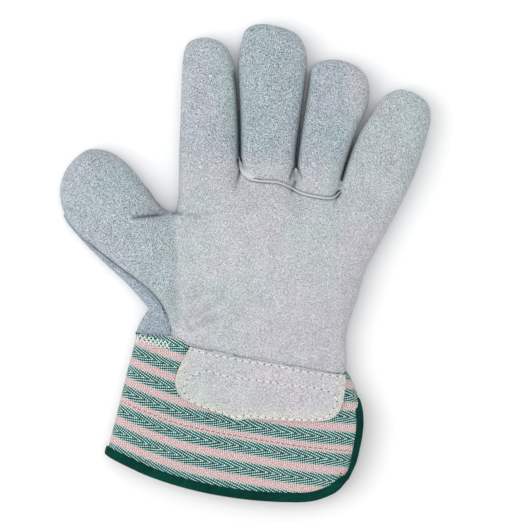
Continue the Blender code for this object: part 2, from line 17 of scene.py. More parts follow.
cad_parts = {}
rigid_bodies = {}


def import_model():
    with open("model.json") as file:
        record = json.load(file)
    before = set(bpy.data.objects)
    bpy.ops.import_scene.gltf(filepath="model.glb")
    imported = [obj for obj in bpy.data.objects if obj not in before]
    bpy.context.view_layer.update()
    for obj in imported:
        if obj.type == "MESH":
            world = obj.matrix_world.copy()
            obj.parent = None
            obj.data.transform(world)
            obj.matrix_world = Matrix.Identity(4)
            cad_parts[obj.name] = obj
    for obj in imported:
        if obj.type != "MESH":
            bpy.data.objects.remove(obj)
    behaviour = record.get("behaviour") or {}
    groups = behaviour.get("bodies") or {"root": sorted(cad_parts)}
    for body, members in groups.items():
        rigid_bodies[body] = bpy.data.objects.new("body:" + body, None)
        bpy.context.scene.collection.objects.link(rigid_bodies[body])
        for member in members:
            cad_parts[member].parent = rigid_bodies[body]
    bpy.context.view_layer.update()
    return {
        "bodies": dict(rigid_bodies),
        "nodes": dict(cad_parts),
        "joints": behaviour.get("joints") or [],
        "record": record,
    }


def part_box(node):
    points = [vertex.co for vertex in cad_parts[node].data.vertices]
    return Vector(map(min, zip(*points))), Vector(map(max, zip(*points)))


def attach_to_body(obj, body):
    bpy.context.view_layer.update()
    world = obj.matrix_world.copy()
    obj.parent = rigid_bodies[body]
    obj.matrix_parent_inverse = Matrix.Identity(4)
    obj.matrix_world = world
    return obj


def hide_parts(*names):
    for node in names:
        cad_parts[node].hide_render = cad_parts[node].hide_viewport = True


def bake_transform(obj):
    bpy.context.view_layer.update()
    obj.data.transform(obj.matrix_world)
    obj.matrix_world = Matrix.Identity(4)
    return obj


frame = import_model()

MM = 0.001

# Leather and cloth
LEATHER = 1.3
TURNED_IN = 1.0  # how far a leather edge turns into its seam
SEAM_Z = 9.0
SEAM_HALF = 0.45  # half the open width of a side seam
UNEVENNESS = ((0.9, 23.0, 0), (0.28, 8.0, 7), (0.07, 3.2, 3))  # height, size and a step in the seed
SECTION = 2.9  # squareness of the section across a digit
PALM_SECTION = 2.6  # the same across the palm
CUFF_SECTION = 2.3  # and at the cuff's fold and split
BACK_HEM = -36.0  # the back's lower edge lies below this
BACK_Z = 1.65  # the back of the hand, on its knuckle strap
BACK_FLATNESS = 1.18  # how soon the back's round edge reaches the flat it lies on

# Finger outlines: pairs of points on the left and right edge, from the base to the tip
FINGERS = {
    "index": [
        ((-36.0, 43.0), (-2.5, 50.5)),
        ((-35.9, 60.0), (-2.9, 63.0)),
        ((-35.3, 78.0), (-3.3, 80.0)),
        ((-34.7, 96.0), (-4.2, 96.5)),
        ((-34.2, 109.0), (-5.6, 108.5)),
        ((-32.8, 118.0), (-8.9, 117.6)),
        ((-29.4, 122.8), (-14.2, 122.6)),
        ((-21.8, 124.6), (-21.8, 124.6)),
    ],
    "middle": [
        ((-2.5, 50.5), (28.2, 46.0)),
        ((-2.2, 63.0), (28.4, 61.0)),
        ((-2.5, 82.0), (30.9, 80.0)),
        ((-3.2, 100.0), (33.2, 98.0)),
        ((-3.2, 113.0), (34.4, 111.0)),
        ((-1.6, 122.5), (32.6, 120.5)),
        ((1.4, 129.4), (26.6, 127.8)),
        ((10.5, 132.0), (10.5, 132.0)),
    ],
    "ring": [
        ((28.2, 46.0), (52.0, 41.6)),
        ((29.5, 60.0), (55.8, 56.0)),
        ((32.0, 78.0), (61.6, 73.5)),
        ((34.6, 94.0), (67.4, 86.0)),
        ((35.6, 103.0), (68.7, 95.5)),
        ((37.6, 109.0), (66.8, 103.6)),
        ((43.0, 111.7), (60.6, 109.3)),
        ((51.5, 112.3), (51.5, 112.3)),
    ],
    "little": [
        ((52.0, 41.6), (87.2, 35.2)),
        ((57.0, 57.4), (93.2, 48.4)),
        ((62.4, 70.5), (98.0, 61.6)),
        ((69.4, 82.0), (101.4, 74.0)),
        ((73.9, 88.4), (102.4, 82.0)),
        ((77.6, 92.6), (100.4, 88.4)),
        ((81.6, 95.0), (94.6, 93.4)),
        ((86.6, 96.0), (86.6, 96.0)),
    ],
}
# Where the digits' tone starts
FINGER_BASES = ((-36.0, 46.0), (-2.5, 47.0), (28.0, 45.0), (52.0, 41.0), (87.0, 34.0))
BASE_DIPS = {"index": 0.0, "middle": -3.6, "ring": -6.2, "little": 0.0}  # the base line under its chord
# 1 where a finger's thumb side or little-finger side stands beside another finger
CROTCH_SIDES = {"index": (0, 1), "middle": (1, 1), "ring": (1, 1), "little": (1, 0)}
CROTCH_LIFT = 1.2  # how far the side seams part there
FINGER_CUTS = {"index": 20.0, "middle": 21.0, "ring": 18.5, "little": 16.5}  # past the base crease
FINGER_TOPS = (20.5, 19.6, 17.0, 17.0)  # height at the base, the middle crease, before the tip and there
FINGER_TOP_RUNS = (0.0, 0.5, 0.85, 1.0)  # shares of the finger's length where they are
FINGER_ROW = 1.25  # distance between a finger's rows of points
FINGER_TIP = 0.6  # length of the rounded tip, in widths of the finger
BASE_FADE, CROTCH_FADE = 16.0, 12.0  # how far up the finger the dip and the parted seams reach

# Thumb: points on the lower seam, the lower outline and the upper edge, from the palm to the tip
THUMB = [
    ((-44.5, -24.3), (-52.5, -24.5), (-38.5, 28.2)),
    ((-51.0, -15.8), (-58.6, -17.4), (-43.6, 30.0)),
    ((-60.6, -7.8), (-65.6, -9.8), (-48.4, 34.6)),
    ((-70.6, -0.4), (-73.8, -2.4), (-52.0, 39.8)),
    ((-80.0, 7.0), (-81.9, 5.4), (-55.6, 44.4)),
    ((-89.6, 15.2), (-90.4, 14.2), (-59.2, 49.0)),
    ((-96.6, 23.4), (-96.8, 23.0), (-63.2, 53.6)),
    ((-100.4, 32.6), (-100.5, 32.5), (-67.8, 57.8)),
    ((-101.3, 42.0), (-101.3, 42.0), (-73.4, 61.4)),
    ((-98.6, 51.0), (-98.6, 51.0), (-78.6, 63.0)),
    ((-92.8, 58.4), (-92.8, 58.4), (-82.4, 63.3)),
    ((-86.6, 62.6), (-86.6, 62.6), (-86.6, 62.6)),
]
THUMB_CUT = 2.5  # stations from the palm to the cut between its two bodies
THUMB_REACH = 72.0  # the thumb lies below this
THUMB_TOP = 21.0
THUMB_TIP_TOP = 18.4
THUMB_ROW = 1.1  # distance between the thumb's rows of points
THUMB_DOME = 0.38  # share of the thumb's length that its rounded tip takes
OVER_END = 6.8  # station where the back no longer comes round to the palm side
OVER_LOW = 8.0  # height at which it starts to come round
OVER_STEP = 1.5  # how far under the palm side's edge it ends
OVER_FADE = 1.2  # stations over which it narrows to nothing
THUMB_SEAM_Z = (13.2, 13.6, 13.6, 13.0, 12.0, 10.8, 9.9, 9.5, 9.5, 9.5, 9.5, 9.5)

# Palm: its edges from the wrist seam up to the finger bases
WRIST_SEAM = [
    (-40.4, -40.6), (-30.0, -45.0), (-19.0, -47.6), (-6.0, -50.4), (14.0, -53.8), (29.4, -57.0),
    (43.7, -59.8), (56.0, -62.6),
]
LEFT_SEAM = [(-40.4, -40.6), (-40.6, -34.0), (-44.5, -24.3)]
CORNER_EDGE = [(-60.0, -38.2), (-57.0, -31.4), (-52.5, -24.5)]
LEFT_EDGE = [(-38.5, 28.2), (-36.6, 33.0), (-36.0, 43.0)]
RIGHT_EDGE = [
    (56.0, -62.6), (56.0, -51.0), (55.6, -42.0), (57.0, -33.5), (62.4, -17.6), (66.0, -5.0),
    (70.4, 4.6), (76.6, 15.6), (81.4, 24.4), (87.2, 35.2),
]
PALM_TOPS = (19.5, 20.8, 23.6, 25.3, 25.8, 24.6, 21.5)  # height of the palm from the wrist to the knuckles
CORNER_ROWS, MOUTH_ROWS, EDGE_ROWS = 15, 54, 14
PALM_ROWS = CORNER_ROWS + MOUTH_ROWS + EDGE_ROWS
FINGER_COLUMNS = 22
OVER_COLUMNS = 8
WRIST_CUT_ROW = 13
KNUCKLE_FADE = 0.17

# ---------------------------------------------------------------- curves and sections


def mix(a, b, share):
    return a + (b - a) * share


def smooth(x):
    x = np.clip(x, 0.0, 1.0)
    return x * x * (3 - 2 * x)


def through(points, where, after=None):
    """Places on the smooth curve through points. where counts points from 0; after bends the curve's end."""
    p = np.array(points, float)
    first = 2 * p[0] - p[1]
    last = 2 * p[-1] - p[-2] if after is None else np.array(after, float)
    q = np.concatenate([[first], p, [last]])
    where = np.clip(np.asarray(where, float), 0, len(p) - 1)
    k = np.minimum(where.astype(int), len(p) - 2)
    f = where - k
    f = f.reshape(f.shape + (1,) * (p.ndim - 1))
    a, b, c, d = q[k], q[k + 1], q[k + 2], q[k + 3]
    return 0.5 * (2 * b + (c - a) * f + (2 * a - 5 * b + 4 * c - d) * f**2 + (3 * b - a - 3 * c + d) * f**3)


def lengths(path):
    steps = np.linalg.norm(np.diff(path, axis=0), axis=1)
    return np.concatenate([[0.0], np.cumsum(steps)])


def evenly(points, count):
    """count + 1 places, evenly apart along the smooth curve through points."""
    dense = through(points, np.linspace(0, len(points) - 1, 40 * len(points)))
    run = lengths(dense)
    wanted = np.linspace(0, run[-1], count + 1)
    return np.stack([np.interp(wanted, run, dense[:, k]) for k in range(dense.shape[1])], axis=1)


def round_section(shares):
    """Across and lift of a rounded section, for shares of the way over it from 0 to 1."""
    angle = np.pi * np.asarray(shares)
    across = (1 - np.sign(np.cos(angle)) * np.abs(np.cos(angle)) ** (2 / SECTION)) / 2
    lift = np.abs(np.sin(angle)) ** (2 / SECTION)
    lift = np.where((angle < 1e-9) | (angle > np.pi - 1e-9), 0.0, lift)
    return across, lift


def dome(share):
    """How a rounded tip falls off, from 1 at share 0 to 0 at share 1."""
    return (1 - np.clip(share, 0, 1) ** SECTION) ** (1 / SECTION)


def rounded(share, squareness):
    """How a rounded edge rises, from 0 at share 0 to 1 at share 1."""
    return (1 - (1 - np.clip(share, 0, 1)) ** squareness) ** (1 / squareness)


def heights(side, edge, top, floor, lift):
    """Height on the palm side, rising from its edge, or on the back, falling to the flat floor."""
    if side > 0:
        return edge + (top - edge) * lift
    return edge - (edge - floor) * np.minimum(1.0, BACK_FLATNESS * lift)


def with_heights(plan, z):
    """Points of a plan at a height each, or all at one."""
    return np.concatenate([plan, np.broadcast_to(z, plan.shape[:-1])[..., None]], axis=-1)


# ---------------------------------------------------------------- finger, palm and thumb surfaces


def joint_of(name):
    return next(j for j in frame["joints"] if j["name"] == name)


def finger_stations(name):
    """Station of each row of a finger, a millimetre and a bit apart."""
    stations = np.array(FINGERS[name], float)
    dense = np.linspace(0, len(stations) - 1, 400)
    edges = finger_edges(name, dense)
    run = (lengths(edges[:, 0]) + lengths(edges[:, 1])) / 2
    count = int(run[-1] / FINGER_ROW)
    return np.interp(np.linspace(0, run[-1], count + 1), run, dense)


def finger_edges(name, where):
    stations = FINGERS[name]
    left = through([s[0] for s in stations], where, stations[-2][1])
    right = through([s[1] for s in stations], where, stations[-2][0])
    return np.stack([left, right], axis=1)


def finger_rows(name, side):
    """Rows of points of one side of a finger, from its base to the tip."""
    where = finger_stations(name)
    edges = finger_edges(name, where)
    across, lift = round_section(np.linspace(0, 1, FINGER_COLUMNS + 1))
    centre = edges.mean(axis=1)
    run = lengths(centre)
    width = np.linalg.norm(edges[len(edges) // 2, 1] - edges[len(edges) // 2, 0])
    tip = dome(1 - (run[-1] - run) / (FINGER_TIP * width))
    top = np.interp(run / run[-1], FINGER_TOP_RUNS, FINGER_TOPS)
    plan = mix(edges[:, 0][:, None, :], edges[:, 1][:, None, :], across[None, :, None])
    dip = BASE_DIPS[name] * np.sin(np.pi * across) ** 0.6
    fade = np.clip(1 - run / BASE_FADE, 0, 1) ** 2
    plan[:, :, 1] += fade[:, None] * dip[None, :]
    edge = SEAM_Z + side * SEAM_HALF
    parting = np.clip(1 - run / CROTCH_FADE, 0, 1)[:, None] ** 2
    crotch = parting * side * CROTCH_LIFT * mix(*CROTCH_SIDES[name], across)
    z = heights(side, edge + crotch, top[:, None], 0.0, lift[None, :] * tip[:, None])
    return with_heights(plan, z)


def knuckle_row(side):
    """The finger bases in a row, from the index finger to the little finger."""
    rows = [finger_rows(name, side)[0] for name in FINGERS]
    return np.concatenate([rows[0]] + [row[1:] for row in rows[1:]])


# Shares of the way up the thumb's mouth, a little closer together at its ends
MOUTH_STEPS = np.linspace(0, 1, MOUTH_ROWS + 1)
MOUTH_SHARES = mix(MOUTH_STEPS, (1 - np.cos(np.pi * MOUTH_STEPS)) / 2, 0.6)


def left_column(side):
    """The palm's thumb-side edge: the seam, the mouth of the thumb, and the edge up to the index finger."""
    corner = evenly(LEFT_SEAM if side > 0 else CORNER_EDGE, CORNER_ROWS)
    mouth = mix(corner[-1], np.array(LEFT_EDGE[0]), MOUTH_SHARES[1:, None])
    edge = evenly(LEFT_EDGE, EDGE_ROWS)[1:]
    return np.concatenate([corner, mouth, edge])


def left_heights(side):
    """Height of the palm's thumb-side edge in each row."""
    _, lift = round_section(MOUTH_STEPS)
    low = THUMB_SEAM_Z[0] if side > 0 else OVER_LOW
    crotch = SEAM_Z + side * SEAM_HALF
    base = mix(low, crotch, MOUTH_SHARES)
    mouth = heights(side, base, THUMB_TOP, BACK_Z, lift)
    corner = np.full(CORNER_ROWS, low)
    edge = np.full(EDGE_ROWS, crotch)
    return np.concatenate([corner, mouth, edge])


def palm_rows(side):
    """Rows of the palm or of the back of the hand, from the wrist seam to the knuckles."""
    top_row = knuckle_row(side)
    columns = len(top_row) - 1
    wrist = list(WRIST_SEAM)
    if side < 0:
        wrist = [CORNER_EDGE[0], (-48.0, -39.6)] + wrist[1:]
    bottom = evenly(wrist, 400)
    even = np.linspace(0, 1, columns + 1)
    bottom_share = mix(even, round_section(even)[0], 0.45)
    run = np.linspace(0, 1, 401)
    bottom = np.stack([np.interp(bottom_share, run, bottom[:, k]) for k in range(2)], axis=1)
    top_share = lengths(top_row[:, :2])
    top_share = top_share / top_share[-1]
    left = left_column(side)
    right = evenly(RIGHT_EDGE, PALM_ROWS)
    v = (np.arange(PALM_ROWS + 1) / PALM_ROWS)[:, None]
    share = mix(bottom_share[None], top_share[None], v)
    plan = mix(bottom[None], top_row[None, :, :2], v[..., None])
    plan += (1 - share)[..., None] * (left[:, None] - plan[:, :1])
    plan += share[..., None] * (right[:, None] - plan[:, -1:])
    tops = through([(t,) for t in PALM_TOPS], v[:, 0] * (len(PALM_TOPS) - 1))[:, 0]
    low = left_heights(side)
    rise_left, rise_right = rounded(2 * share, PALM_SECTION), rounded(2 - 2 * share, PALM_SECTION)
    row = np.arange(PALM_ROWS + 1)
    opened = smooth((row - CORNER_ROWS - 3) / 8) * smooth((CORNER_ROWS + MOUTH_ROWS - 3 - row) / 8)
    rise_left = mix(rise_left, smooth(share * 2.4), opened[:, None])
    edge = SEAM_Z + side * SEAM_HALF
    if side > 0:
        fall_left = (tops - low)[:, None] * (1 - rise_left)
        fall_right = (tops - edge)[:, None] * (1 - rise_right)
        z = tops[:, None] - fall_left - fall_right
    else:
        flat_left = np.minimum(1, BACK_FLATNESS * rise_left)
        flat_right = np.minimum(1, BACK_FLATNESS * rise_right)
        z = BACK_Z + (low - BACK_Z)[:, None] * (1 - flat_left) + (edge - BACK_Z) * (1 - flat_right)
    knuckles = smooth((v - (1 - KNUCKLE_FADE)) / KNUCKLE_FADE) ** 1.5
    z = mix(z, top_row[None, :, 2], knuckles)
    z[:, 0] = np.where(row < PALM_ROWS, low, top_row[0, 2])
    return with_heights(plan, z)


def thumb_where():
    """Station of each row of the thumb."""
    lower = [s[0] for s in THUMB]
    dense = np.linspace(0, len(THUMB) - 1, 600)
    upper = [s[2] for s in THUMB]
    run = mix(lengths(through(lower, dense)), lengths(through(upper, dense)), 0.4)
    count = int(run[-1] / THUMB_ROW)
    return np.interp(np.linspace(0, run[-1], count + 1), run, dense)


def thumb_curves(where):
    """Lower seam, lower outline and upper edge at the stations, bent so that the tip closes round."""
    seam = through([s[0] for s in THUMB], where, THUMB[-2][2])
    outline = through([s[1] for s in THUMB], where, THUMB[-2][2])
    upper = through([s[2] for s in THUMB], where, THUMB[-2][1])
    return seam, outline, upper


def thumb_low_heights(where, side):
    """Height of the thumb's lower edge, which the back comes round to meet."""
    seam_z = through([(z,) for z in THUMB_SEAM_Z], where)[:, 0] if side > 0 else np.full(len(where), OVER_LOW)
    reach = where / (len(THUMB) - 1)
    return mix(seam_z, SEAM_Z + side * SEAM_HALF, smooth((reach - 0.5) / 0.2))


def thumb_rows(side):
    """Rows of the thumb, from its mouth in the palm to the tip."""
    where = thumb_where()
    seam, outline, upper = thumb_curves(where)
    low = seam if side > 0 else outline
    _, lift = round_section(MOUTH_STEPS)
    reach = where / (len(THUMB) - 1)
    tip = dome(1 - (1 - reach) / THUMB_DOME)
    low_z = thumb_low_heights(where, side)
    base = mix(low_z[:, None], SEAM_Z + side * SEAM_HALF, MOUTH_SHARES[None])
    top = mix(THUMB_TOP, THUMB_TIP_TOP, smooth((reach - 0.25) / 0.5))
    floor = mix(BACK_Z, 0.0, smooth(where / 1.5))
    z = heights(side, base, top[:, None], floor[:, None], lift[None] * tip[:, None])
    plan = mix(low[:, None], upper[:, None], MOUTH_SHARES[None, :, None])
    return with_heights(plan, z)


def over_rows():
    """The part of the back that comes round the lower edge, up to the seam on the palm side."""
    where = thumb_where()
    where = where[where < OVER_END]
    seam, outline, _ = thumb_curves(where)
    corner_seam = evenly(LEFT_SEAM, CORNER_ROWS)[:-1]
    corner_edge = evenly(CORNER_EDGE, CORNER_ROWS)[:-1]
    low_z = thumb_low_heights(where, -1)
    taper = smooth((OVER_END - where) / OVER_FADE)
    taper[-1] = 0.0
    seam_z = through([(z,) for z in THUMB_SEAM_Z], where)[:, 0] - OVER_STEP
    seam_z = mix(low_z, seam_z, taper)
    seam = mix(outline, seam, taper[:, None])
    low_z = np.concatenate([np.full(CORNER_ROWS, low_z[0]), low_z])
    seam_z = np.concatenate([np.full(CORNER_ROWS, seam_z[0]), seam_z])
    seam = np.concatenate([corner_seam, seam])
    outline = np.concatenate([corner_edge, outline])
    angle = np.linspace(0, math.pi / 2, OVER_COLUMNS + 1)
    plan = mix(outline[:, None], seam[:, None], (1 - np.cos(angle))[None, :, None])
    z = mix(low_z[:, None], seam_z[:, None], np.sin(angle)[None])
    return with_heights(plan, z)


# ---------------------------------------------------------------- skins: weld, fold, cut and thicken


def deselect_all():
    bpy.ops.object.select_all(action="DESELECT")


def grid(name, rows, part=0):
    """A primitive grid laid through rows of points in millimetres. part marks each face, or all of them."""
    rows = np.asarray(rows, float)
    deselect_all()
    bpy.ops.mesh.primitive_grid_add(x_subdivisions=rows.shape[1] - 1, y_subdivisions=rows.shape[0] - 1)
    obj = bpy.context.object
    obj.name = obj.data.name = name
    obj.data.vertices.foreach_set("co", (rows.reshape(-1, 3) * MM).astype(np.float32).ravel())
    parts = obj.data.attributes.new("part", "INT", "FACE")
    marks = np.zeros(len(obj.data.polygons), np.int32) + part
    parts.data.foreach_set("value", marks.astype(np.int32))
    return obj


def weld(objects, name):
    """Joins surfaces into one and merges the points where they meet."""
    deselect_all()
    for obj in objects:
        obj.select_set(True)
    bpy.context.view_layer.objects.active = objects[0]
    bpy.ops.object.join()
    bpy.ops.object.mode_set(mode="EDIT")
    bpy.ops.mesh.select_all(action="SELECT")
    bpy.ops.mesh.remove_doubles(threshold=0.03 * MM)
    bpy.ops.object.mode_set(mode="OBJECT")
    objects[0].name = objects[0].data.name = name
    return objects[0]


def coordinates(mesh):
    co = np.zeros(len(mesh.vertices) * 3, np.float32)
    mesh.vertices.foreach_get("co", co)
    return co.reshape(-1, 3).astype(float) / MM


def set_coordinates(mesh, co):
    mesh.vertices.foreach_set("co", (co * MM).astype(np.float32).ravel())
    mesh.update()


def at_back_hem(edge, side):
    """The back's hem lies flat under the cuff, so it does not turn in."""
    return side < 0 and all(vert.co.y < BACK_HEM * MM for vert in edge.verts)


def turn_edges_in(obj, side):
    """Adds the seam allowance: every open edge turns inwards, into its seam."""
    bm = bmesh.new()
    bm.from_mesh(obj.data)
    parts = bm.faces.layers.int["part"]
    edges = [e for e in bm.edges if e.is_boundary and not at_back_hem(e, side)]
    inward = {}
    for edge in edges:
        loop = edge.link_loops[0]
        along = loop.link_loop_next.vert.co - loop.vert.co
        left = Vector((-along.y, along.x, 0.0))
        for vert in edge.verts:
            inward[vert] = inward.get(vert, Vector()) + left
    owners = {e: e.link_faces[0][parts] for e in edges}
    pairs = [(e.verts[0], e.verts[1], owners[e]) for e in edges]
    made = {}
    for vert, way in inward.items():
        way.normalize()
        place = vert.co + (way * TURNED_IN + Vector((0.0, 0.0, -side * SEAM_HALF * 0.7))) * MM
        made[vert] = bm.verts.new(place)
    for (a, b, part), edge in zip(pairs, edges):
        if a in made and b in made:
            loop = edge.link_loops[0]
            first, second = loop.vert, loop.link_loop_next.vert
            face = bm.faces.new((second, first, made[first], made[second]))
            face[parts] = part
    bm.normal_update()
    bm.to_mesh(obj.data)
    bm.free()


def face_outwards(obj, side):
    """Turns the skin over if it faces the inside of the glove."""
    bm = bmesh.new()
    bm.from_mesh(obj.data)
    bmesh.ops.recalc_face_normals(bm, faces=bm.faces)
    if sum(f.normal.z * f.calc_area() for f in bm.faces) * side < 0:
        bmesh.ops.reverse_faces(bm, faces=bm.faces)
    bm.to_mesh(obj.data)
    bm.free()


def distance_to(path, co):
    """Plan distance of every point from a path, and the nearest place's share of the path's length."""
    path = np.asarray(path, float)
    best = np.full(len(co), 1e9)
    where = np.zeros(len(co))
    total = lengths(path)
    for k, (a, b) in enumerate(zip(path, path[1:])):
        step = b - a
        t = np.clip(((co[:, :2] - a) @ step) / (step @ step), 0, 1)
        far = np.linalg.norm(co[:, :2] - (a + t[:, None] * step), axis=1)
        near = far < best
        best = np.where(near, far, best)
        where = np.where(near, (total[k] + t * (total[k + 1] - total[k])) / total[-1], where)
    return best, where


def line_marks(co, lines):
    """How strongly each line marks every point. A line is a path, a strength, a width and its ends' fade."""
    marks = []
    for path, strength, width, fade in lines:
        curve = path if len(path) == 2 else evenly(path, 4 * len(path))
        far, where = distance_to(curve, co)
        ends = smooth(where / fade) * smooth((1 - where) / fade) if fade else 1.0
        marks.append(strength * np.exp(-((far / width) ** 2)) * ends)
    return marks


def unevenness(co, seed):
    """Soft high and low places of worn leather, of three sizes."""
    lift = np.zeros(len(co))
    for height, size, step in UNEVENNESS:
        for k, (x, y, _) in enumerate(co):
            lift[k] += height * noise.noise(Vector((x / size, y / size, seed + step)))
    return lift


def relax(mesh, rounds, keep):
    """Evens out kinks in height between the patches, but leaves the kept points."""
    co = coordinates(mesh)
    ends = np.zeros(len(mesh.edges) * 2, np.int32)
    mesh.edges.foreach_get("vertices", ends)
    ends = ends.reshape(-1, 2)
    count = np.bincount(ends.ravel(), minlength=len(co))
    for _ in range(rounds):
        total = np.zeros(len(co))
        np.add.at(total, ends[:, 0], co[ends[:, 1], 2])
        np.add.at(total, ends[:, 1], co[ends[:, 0], 2])
        co[:, 2] = np.where(keep, co[:, 2], mix(co[:, 2], total / np.maximum(count, 1), 0.5))
    set_coordinates(mesh, co)


def boundary_mask(mesh):
    bm = bmesh.new()
    bm.from_mesh(mesh)
    mask = np.array([any(e.is_boundary for e in v.link_edges) for v in bm.verts])
    bm.free()
    return mask


def write_shades(mesh, tone, crease):
    """Stores a tone, how dark the leather's colour is, and how much painted shade sits in its creases, seams
    and finger gaps.
    """
    for name, values in (("tone", tone), ("crease", crease)):
        layer = mesh.attributes.new(name, "FLOAT", "POINT")
        layer.data.foreach_set("value", np.clip(values, 0, 1).astype(np.float32))


def shade_skin(mesh, side):
    """Darker digits, a little finger painted paler against the key light's shade, and painted shade in the
    seams, creases and between the fingers.
    """
    co = coordinates(mesh)
    x, y = co[:, 0], co[:, 1]
    base = np.interp(x, *np.transpose(FINGER_BASES))
    fingers = smooth((y - base + 4) / 26) * mix(0.72, 1.0, smooth((x + 20) / 26))
    # Painted light: the little finger is made paler to offset the shade that the key light from the left
    # leaves on the glove's right side
    little_painted_lighter = 0.55 * smooth((x - FINGER_BASES[3][0]) / 8)
    thumb = 0.85 * smooth((-33.5 - x) / 10) * smooth((THUMB_REACH - y) / 4)
    upper_palm = 0.25 * smooth((y - 10) / 30)
    tone = np.maximum(np.maximum(fingers * (1 - little_painted_lighter), thumb), upper_palm)
    # Painted shade: dark lines in the seams, creases and finger gaps of the palm side
    crease = np.max(line_marks(co, PAINTED_SHADE_LINES), axis=0) if side > 0 else np.zeros(len(co))
    write_shades(mesh, tone, crease)


def shape_skin(obj, side, folds, seed):
    """Evens out the skin, then adds its unevenness and presses its folds in."""
    mesh = obj.data
    shade_skin(mesh, side)
    rim = boundary_mask(mesh)
    relax(mesh, 16 if side > 0 else 6, rim)
    co = coordinates(mesh)
    mesh.update()
    normals = np.array([v.normal for v in mesh.vertices])
    inland = smooth(np.abs(normals[:, 2]) * 1.2 - 0.1)
    lift = unevenness(co, seed) * inland * (0.55 if side > 0 else 0.3)
    lift -= np.sum(line_marks(co, folds), axis=0)
    if side < 0:
        lift *= inland
    co += normals * lift[:, None]
    co[:, 2] = np.maximum(co[:, 2], 0.05)
    set_coordinates(mesh, co)


def take_part(skin, number, name, normals):
    """One piece of the skin: its faces, a wall of leather, and the whole skin's shading across its cuts."""
    bm = bmesh.new()
    bm.from_mesh(skin.data)
    parts = bm.faces.layers.int["part"]
    bmesh.ops.delete(bm, geom=[f for f in bm.faces if f[parts] != number], context="FACES")
    places = [tuple(round(x / MM, 3) for x in v.co) for v in bm.verts]
    mesh = bpy.data.meshes.new(name)
    bm.to_mesh(mesh)
    bm.free()
    obj = bpy.data.objects.new(name, mesh)
    bpy.context.scene.collection.objects.link(obj)
    thicken(obj, LEATHER)
    shade(obj, places, normals)
    return obj


def thicken(obj, wall):
    """Gives a surface a wall on its inner side, closed at its edges."""
    made = obj.modifiers.new("wall", "SOLIDIFY")
    made.thickness = wall * MM
    made.offset = -1.0
    made.use_rim = True
    apply_modifiers(obj)


def apply_modifiers(obj):
    deselect_all()
    obj.select_set(True)
    bpy.context.view_layer.objects.active = obj
    for modifier in list(obj.modifiers):
        bpy.ops.object.modifier_apply(modifier=modifier.name)


def shade(obj, places, normals):
    """Smooth shading with the skin's own normals outside, and each face's own on the cut edges."""
    mesh = obj.data
    mesh.shade_smooth()
    outside = len(places)
    smooth_normals = np.array([v.normal for v in mesh.vertices])
    for k, place in enumerate(places):
        smooth_normals[k] = normals[place]
    faces_outside = np.array([all(v < outside for v in p.vertices) for p in mesh.polygons])
    rim = np.array([any(v < outside for v in p.vertices) for p in mesh.polygons]) & ~faces_outside
    loops = np.zeros((len(mesh.loops), 3))
    for polygon in mesh.polygons:
        for k in polygon.loop_indices:
            loops[k] = polygon.normal if rim[polygon.index] else smooth_normals[mesh.loops[k].vertex_index]
    mesh.normals_split_custom_set(loops.tolist())


def skin_normals(skin):
    skin.data.update()
    return {tuple(round(x / MM, 3) for x in v.co): tuple(v.normal) for v in skin.data.vertices}


PART_NAMES = {0: "palm", 1: "wrist", 10: "thumb_lower", 11: "thumb_upper"}
for number, finger in enumerate(FINGERS):
    PART_NAMES[2 + 2 * number] = finger + "_lower"
    PART_NAMES[3 + 2 * number] = finger + "_upper"


def finger_parts(name, number, rows):
    """Marks the faces of a finger as lower or upper, at the cut past its base crease."""
    joint = joint_of(name + "_base_bend")
    place = np.array(joint["pos_m"][:2]) / MM
    axis = np.array(joint["axis"][:2])
    away = np.array([-axis[1], axis[0]])
    reach = (rows[:, :, :2] - place).mean(axis=1) @ away
    upper = (reach[:-1] + reach[1:]) / 2 > FINGER_CUTS[name]
    return np.repeat(np.where(upper, 3 + 2 * number, 2 + 2 * number), rows.shape[1] - 1)


def build_skin(side):
    """The whole palm side or back as one welded surface."""
    rows = palm_rows(side)
    wrist = np.arange(rows.shape[0] - 1) < WRIST_CUT_ROW
    patches = [grid("skin", rows, np.repeat(np.where(wrist, 1, 0), rows.shape[1] - 1))]
    for number, name in enumerate(FINGERS):
        rows = finger_rows(name, side)
        patches.append(grid(name, rows, finger_parts(name, number, rows)))
    where = thumb_where()
    upper = (where[:-1] + where[1:]) / 2 > THUMB_CUT
    patches.append(grid("thumb", thumb_rows(side), np.repeat(np.where(upper, 11, 10), MOUTH_ROWS)))
    if side < 0:
        rows = over_rows()
        count = rows.shape[0] - 1
        marks = np.ones(count, int)
        marks[WRIST_CUT_ROW:CORNER_ROWS] = 0
        marks[CORNER_ROWS:] = np.where(upper[: count - CORNER_ROWS], 11, 10)
        patches.append(grid("over", rows, np.repeat(marks, OVER_COLUMNS)))
    skin = weld(patches, "skin_front" if side > 0 else "skin_back")
    if side > 0:
        skin.modifiers.new("finer", "SUBSURF").levels = 1
        apply_modifiers(skin)
    return skin


